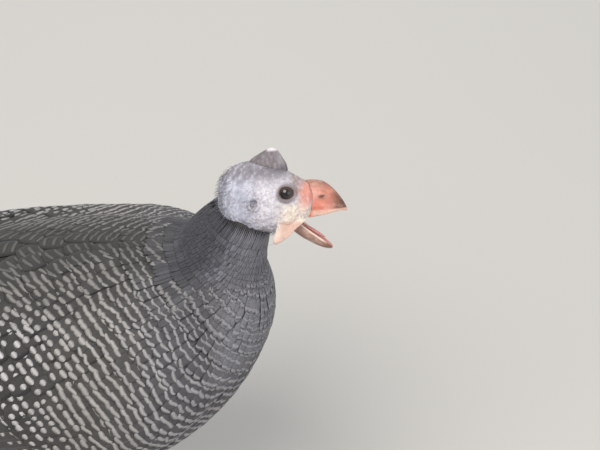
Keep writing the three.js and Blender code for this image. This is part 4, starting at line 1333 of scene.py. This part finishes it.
grow_bristles("nape", smooth(-x, 25, 34) * (z > -21), 520, (1.8, 4.0), 0.1, (-0.75, 0, -0.65), "#4a4a53",
              "#a9a9b6")
grow_bristles("throat", smooth(-x, 0, 12) * smooth(-z, 14, 20) * (1 - wattled), 420, (1.8, 3.8), 0.09,
              (-0.9, 0, -0.45), "#3f3f47", "#8d8d96")
grow_bristles("ear", bell(ear_far - 2.3, 0.7) * (aside > 8), 60, (1.6, 2.8), 0.08, (-0.8, 0, -0.3), "#4a4850",
              "#8f8c96")
on_face = smooth(-x, -6, 20) * (z > -14) * (eye_far > 7) * smooth(aside, 4, 8)
grow_bristles("face", on_face, 320, (0.9, 1.9), 0.06, (-0.9, 0, -0.4), "#6b6872", "#c9c5cf")

# The casque is chalky and scatters light, the bill is smooth enough for a soft highlight, and the mouth's
# flesh shines wet
casque_horn = skin_material("casque horn, dry and matt", 0.6, 0.12, 0.9, 0.03)
bill_horn = skin_material("bill horn, smooth with a low gloss", 0.36, 0.04, 1.4, 0.12, 0.1)
mouth_flesh = skin_material("mouth lining, wet", 0.25, 0.06, 0.7, 0.2, 0.6)

casque = melt("casque", [swell(copy_of("casque"), 0.45)], 0.45, 4)
rows_mm = in_head(places(casque))
ridged = noise_at(rows_mm, 1.4, 3, (1, 1, 0.25))
swell(casque, (ridged - 0.5) * 0.3)
x, y, z = rows_mm.T
paint(casque, tinted(
    # Besides the casque's own tones, painted light on its ridges and painted shade in its grooves, over the
    # relief that the same noise gives
    "#746c70", (smooth(ridged, 0.5, 0.8) * 0.5, "#9f979b"), (smooth(0.5 - ridged, 0, 0.3) * 0.45, "#5d565a"),
    (smooth(11.5 - z, 0, 4), "#8f878b"), (smooth(x, -6, -1) * smooth(z, 12, 19), "#a59da1"),
    (smooth(z, 20.8, 22.2) * smooth(x, -10, -8), "#ddd6d8"),
))
settle(casque, casque_horn, "casque", "casque")

upper = melt("bill_upper", [copy_of("bill_upper")], 0.4, 5)
rows_mm = in_head(places(upper))
x, y, z = rows_mm.T
aside = np.abs(y)
wave = noise_at(rows_mm, 3.0, 3, (0.5, 1, 1))
ridge = smooth(z, -1, 4) * (1 - smooth(aside, 1.5, 4))
nostril = bell(x - 19, 2.0) * bell(z + 3.3, 0.9) * smooth(aside, 3, 4.5)
under = smooth(-facings(upper) @ head_axes[:, 2], 0.1, 0.6)
paint(upper, tinted(
    "#d29584", (smooth(x, 15, 24), "#c07a64"), (smooth(-z, 3, 7) * (1 - smooth(x, 17, 25)), "#d27c67"),
    (smooth(z, -1.5, 4), "#c08c7e"), (ridge * 0.75, "#8a6252"), (smooth(x, 22, 28.5), "#6e4b3d"),
    (smooth(-z, 9.6, 10.8) * smooth(x, 12, 15), "#e2b7a4"), (smooth(wave, 0.5, 0.85) * 0.35, "#e6af9d"),
    # The nostril is painted almost black: painted shade in its opening, which is only a shallow dent
    (smooth(0.5 - wave, 0, 0.3) * 0.35, "#b06e5c"), (nostril * 0.95, "#5c352c"), (under, "#a97b72"),
))
swell(upper, -nostril * 0.7)
settle(upper, bill_horn, "bill", "bill_upper")

jaw_axes = head_axes @ np.array(Matrix.Rotation(math.radians(JAW_DOWN), 3, "Y"))
lower = melt("bill_lower", [copy_of("bill_lower")], 0.35, 4)
rows_mm = (places(lower) - from_head(GAPE)) @ jaw_axes / MM
x, y, z = rows_mm.T
aside = np.abs(y)
facing_up = smooth(facings(lower) @ jaw_axes[:, 2], 0.2, 0.7)
wave = noise_at(rows_mm, 2.5, 3, (0.5, 1, 1))
paint(lower, tinted(
    "#a58174", (smooth(x, 12, 22), "#8b6354"), (smooth(6 - x, 0, 6), "#b99687"),
    (smooth(wave, 0.5, 0.85) * 0.4, "#e0c0b2"), (facing_up * (1 - smooth(aside, 4.2, 5.6)), "#c98a82"),
    (smooth(z, -1.2, -0.2) * smooth(aside, 3.4, 5), "#ecd2c2"),
))
settle(lower, bill_horn, "bill", "bill_lower")

tongue = melt("tongue", [copy_of("tongue")], 0.3, 3)
paint(tongue, "#cf8f88")
settle(tongue, mouth_flesh, "mouth", "tongue")

palate = ball(*PALATE_AT, 1)
move_to(palate, from_head(PALATE_AT + (in_head(places(palate)) - PALATE_AT) * PALATE_SIZE))
bpy.ops.object.shade_smooth()
palate.name = "palate"
# The flesh's colour, painted darker than the tongue as painted shade deep at the back of the mouth
paint(palate, "#8a4a46")
settle(palate, mouth_flesh, "mouth")

# Eyes: dark brown iris round a large pupil, under a clear wet cornea that mirrors the lamps
eye_wet, tree, shader = new_material(
    "eye, brown iris under a wet cornea", Roughness=0.12, IOR=1.376, Coat_Weight=1.0, Coat_Roughness=0.02,
)
colour_by_height(tree, shader, noise(tree, 2600.0, 3.0), 0.0, 1.0, 0.6, 1.4)
for side, name in SIDES:
    centre, radius = eye_of(name)
    outward = Vector(head_axes[:, 1]) * side
    bpy.ops.object.select_all(action="DESELECT")
    bpy.ops.mesh.primitive_uv_sphere_add(segments=64, ring_count=48, radius=radius, location=centre,
                                         rotation=outward.to_track_quat("Z", "X").to_euler())
    bpy.ops.object.transform_apply(location=True, rotation=True, scale=True)
    bpy.ops.object.shade_smooth()
    eye = bpy.context.object
    eye.name = "eyeball_" + name
    from_centre = places(eye) - np.array(centre)
    off = np.degrees(np.arccos(np.clip(from_centre @ np.array(outward) / radius, -1, 1)))
    move_to(eye, np.array(centre) + from_centre * (1 + 0.05 * bell(off, 34, 4))[:, None])
    paint(eye, tinted("#211814", (1 - smooth(off, 50, 58), "#4a352b"), (1 - smooth(off, 29, 33), "#060404")))
    settle(eye, eye_wet, "eye", "eye_" + name)

# Legs: shank and toes under one skin of plates that catch the light at their edges, with separate horn claws

leg_scales = skin_material("leg scales, dry horn skin", 0.5, 0.1, 1.1, 0.1)
claw_horn = skin_material("claw horn, worn", 0.4, 0.05, 0.8, 0.05)


def plate_rows(place, pitch):
    """1 on a plate and 0 in the groove after it, one plate for every pitch."""
    return 1 - np.abs((place / pitch % 1) * 2 - 1) ** 6


def leg(name):
    lo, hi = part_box("shank_" + name)
    forms = [swell(copy_of(node + name), 0.2) for node in ("shank_", "foot_")]
    skin = melt("leg_skin_" + name, forms, 0.65, 3)
    rows = places(skin)
    ahead, _, up = facings(skin).T
    low_z = rows[:, 2] / MM
    ankle = np.array([lo.x * 0.12 + hi.x * 0.88 - 5 * MM, (lo.y + hi.y) / 2])
    reach = np.hypot(*(rows[:, :2] - ankle).T) / MM
    on_shank = smooth(low_z, 12, 18)
    front = smooth(ahead, 0.1, 0.6) * on_shank
    rear = smooth(-ahead, 0.1, 0.6) * on_shank
    topside = smooth(up, 0.1, 0.6) * (1 - on_shank) * smooth(reach, 5, 8)
    plates = (plate_rows(low_z, 5.4) * front + plate_rows(low_z, 3.6) * rear * 0.6
              + plate_rows(reach, 2.5) * topside * 0.9)
    cell = noise_at(rows / MM, 1.3, 2)
    lift = (plates - 0.5 * (front + rear * 0.6 + topside * 0.9)) * 0.34 + (cell - 0.5) * 0.25
    rows = places(swell(skin, lift))
    rows[:, 2] = np.where(rows[:, 2] < 0.35 * MM, 0, rows[:, 2])  # the soles lie flat on the ground
    move_to(skin, rows)
    grooves = (1 - plates) * np.clip(front + rear + topside, 0, 1)
    stain = noise_at(rows / MM + 30, 9, 3)
    paint(skin, tinted(
        "#b0826e", (smooth(stain, 0.45, 0.75) * 0.6, "#8f6a5c"), (smooth(cell, 0.55, 0.9) * 0.4, "#cba591"),
        (grooves * 0.5, "#6f4e42"), (smooth(-up, 0.3, 0.8) * (1 - on_shank), "#c3a08c"),
        (front * 0.35, "#9c7566"),
    ))
    settle(skin, leg_scales, "leg", "shank_" + name, "foot_" + name)
    for toe in ("middle", "inner", "outer", "hind"):
        node = f"claw_{name}_{toe}"
        claw = melt(f"claw_horn_{name}_{toe}", [swell(copy_of(node), 0.18)], 0.3, 3)
        rows = places(claw)
        rows[:, 2] = np.maximum(rows[:, 2], 0)
        move_to(claw, rows)
        far = np.hypot(*(rows[:, :2] - ankle).T)
        tipward = (far - far.min()) / (far.max() - far.min())
        worn = smooth(tipward, 0.9, 1)
        paint(claw, tinted("#6b5348", (smooth(tipward, 0.2, 0.9), "#41342e"), (worn, "#8a7567")))
        settle(claw, claw_horn, "claw", node)


leg("right")
leg("left")

# Studio: pale floor, one soft key from above and a fill from each side

floor_pale = new_material("plaster floor, matt pale grey", Roughness=0.9, Base_Color=linear("#c9c6c1"))[0]
bpy.ops.mesh.primitive_grid_add(x_subdivisions=2, y_subdivisions=2, size=6, location=(0, 0, 0))
floor = bpy.context.object
floor.name = "floor"
floor.data.materials.append(floor_pale)


def soft_light(name, place, size, power, tint):
    """An area lamp that is aimed at the bird's breast."""
    lamp = bpy.data.lights.new(name, "AREA")
    lamp.size = size
    lamp.energy = power
    lamp.color = linear(tint)[:3]
    holder = bpy.data.objects.new(name, lamp)
    bpy.context.collection.objects.link(holder)
    holder.location = place
    holder.rotation_euler = (at(60, 0, 200) - Vector(place)).to_track_quat("-Z", "Y").to_euler()


soft_light("key", (-0.5, -0.9, 1.9), 1.4, 34, "#fffaf2")
soft_light("fill", (1.5, -1.2, 1.0), 1.6, 9, "#f2f5ff")
soft_light("rim", (0.2, 1.5, 1.2), 1.2, 8, "#ffffff")
world = bpy.data.worlds.new("studio")
bpy.context.scene.world = world
world.use_nodes = True
world.node_tree.nodes["Background"].inputs["Color"].default_value = linear("#e8ecf0")
world.node_tree.nodes["Background"].inputs["Strength"].default_value = 0.62
bpy.context.scene.view_settings.view_transform = "Standard"


def photo_camera():
    """The camera at the photograph's distance and tilt, with the eye on the photograph's pixel."""
    down = math.radians(VIEW_DOWN)
    ahead = Vector((0, math.cos(down), -math.sin(down)))
    up = Vector((0, math.sin(down), math.cos(down)))
    far = PHOTO_SIZE[0] * LENS / SENSOR * MM_PER_PIXEL * MM
    aside, below = ((PHOTO_SIZE[0] / 2 - EYE_PIXEL[0]) * MM_PER_PIXEL * MM,
                    (EYE_PIXEL[1] - PHOTO_SIZE[1] / 2) * MM_PER_PIXEL * MM)
    data = bpy.data.cameras.new("photo view")
    data.lens = LENS
    data.sensor_width = SENSOR
    data.sensor_fit = "HORIZONTAL"
    data.clip_start = 0.01
    camera = bpy.data.objects.new("photo view", data)
    bpy.context.collection.objects.link(camera)
    camera.location = eye_of("right")[0] - ahead * far + Vector((aside, 0, 0)) + up * below
    camera.rotation_euler = ahead.to_track_quat("-Z", "Y").to_euler()
    bpy.context.scene.camera = camera


photo_camera()
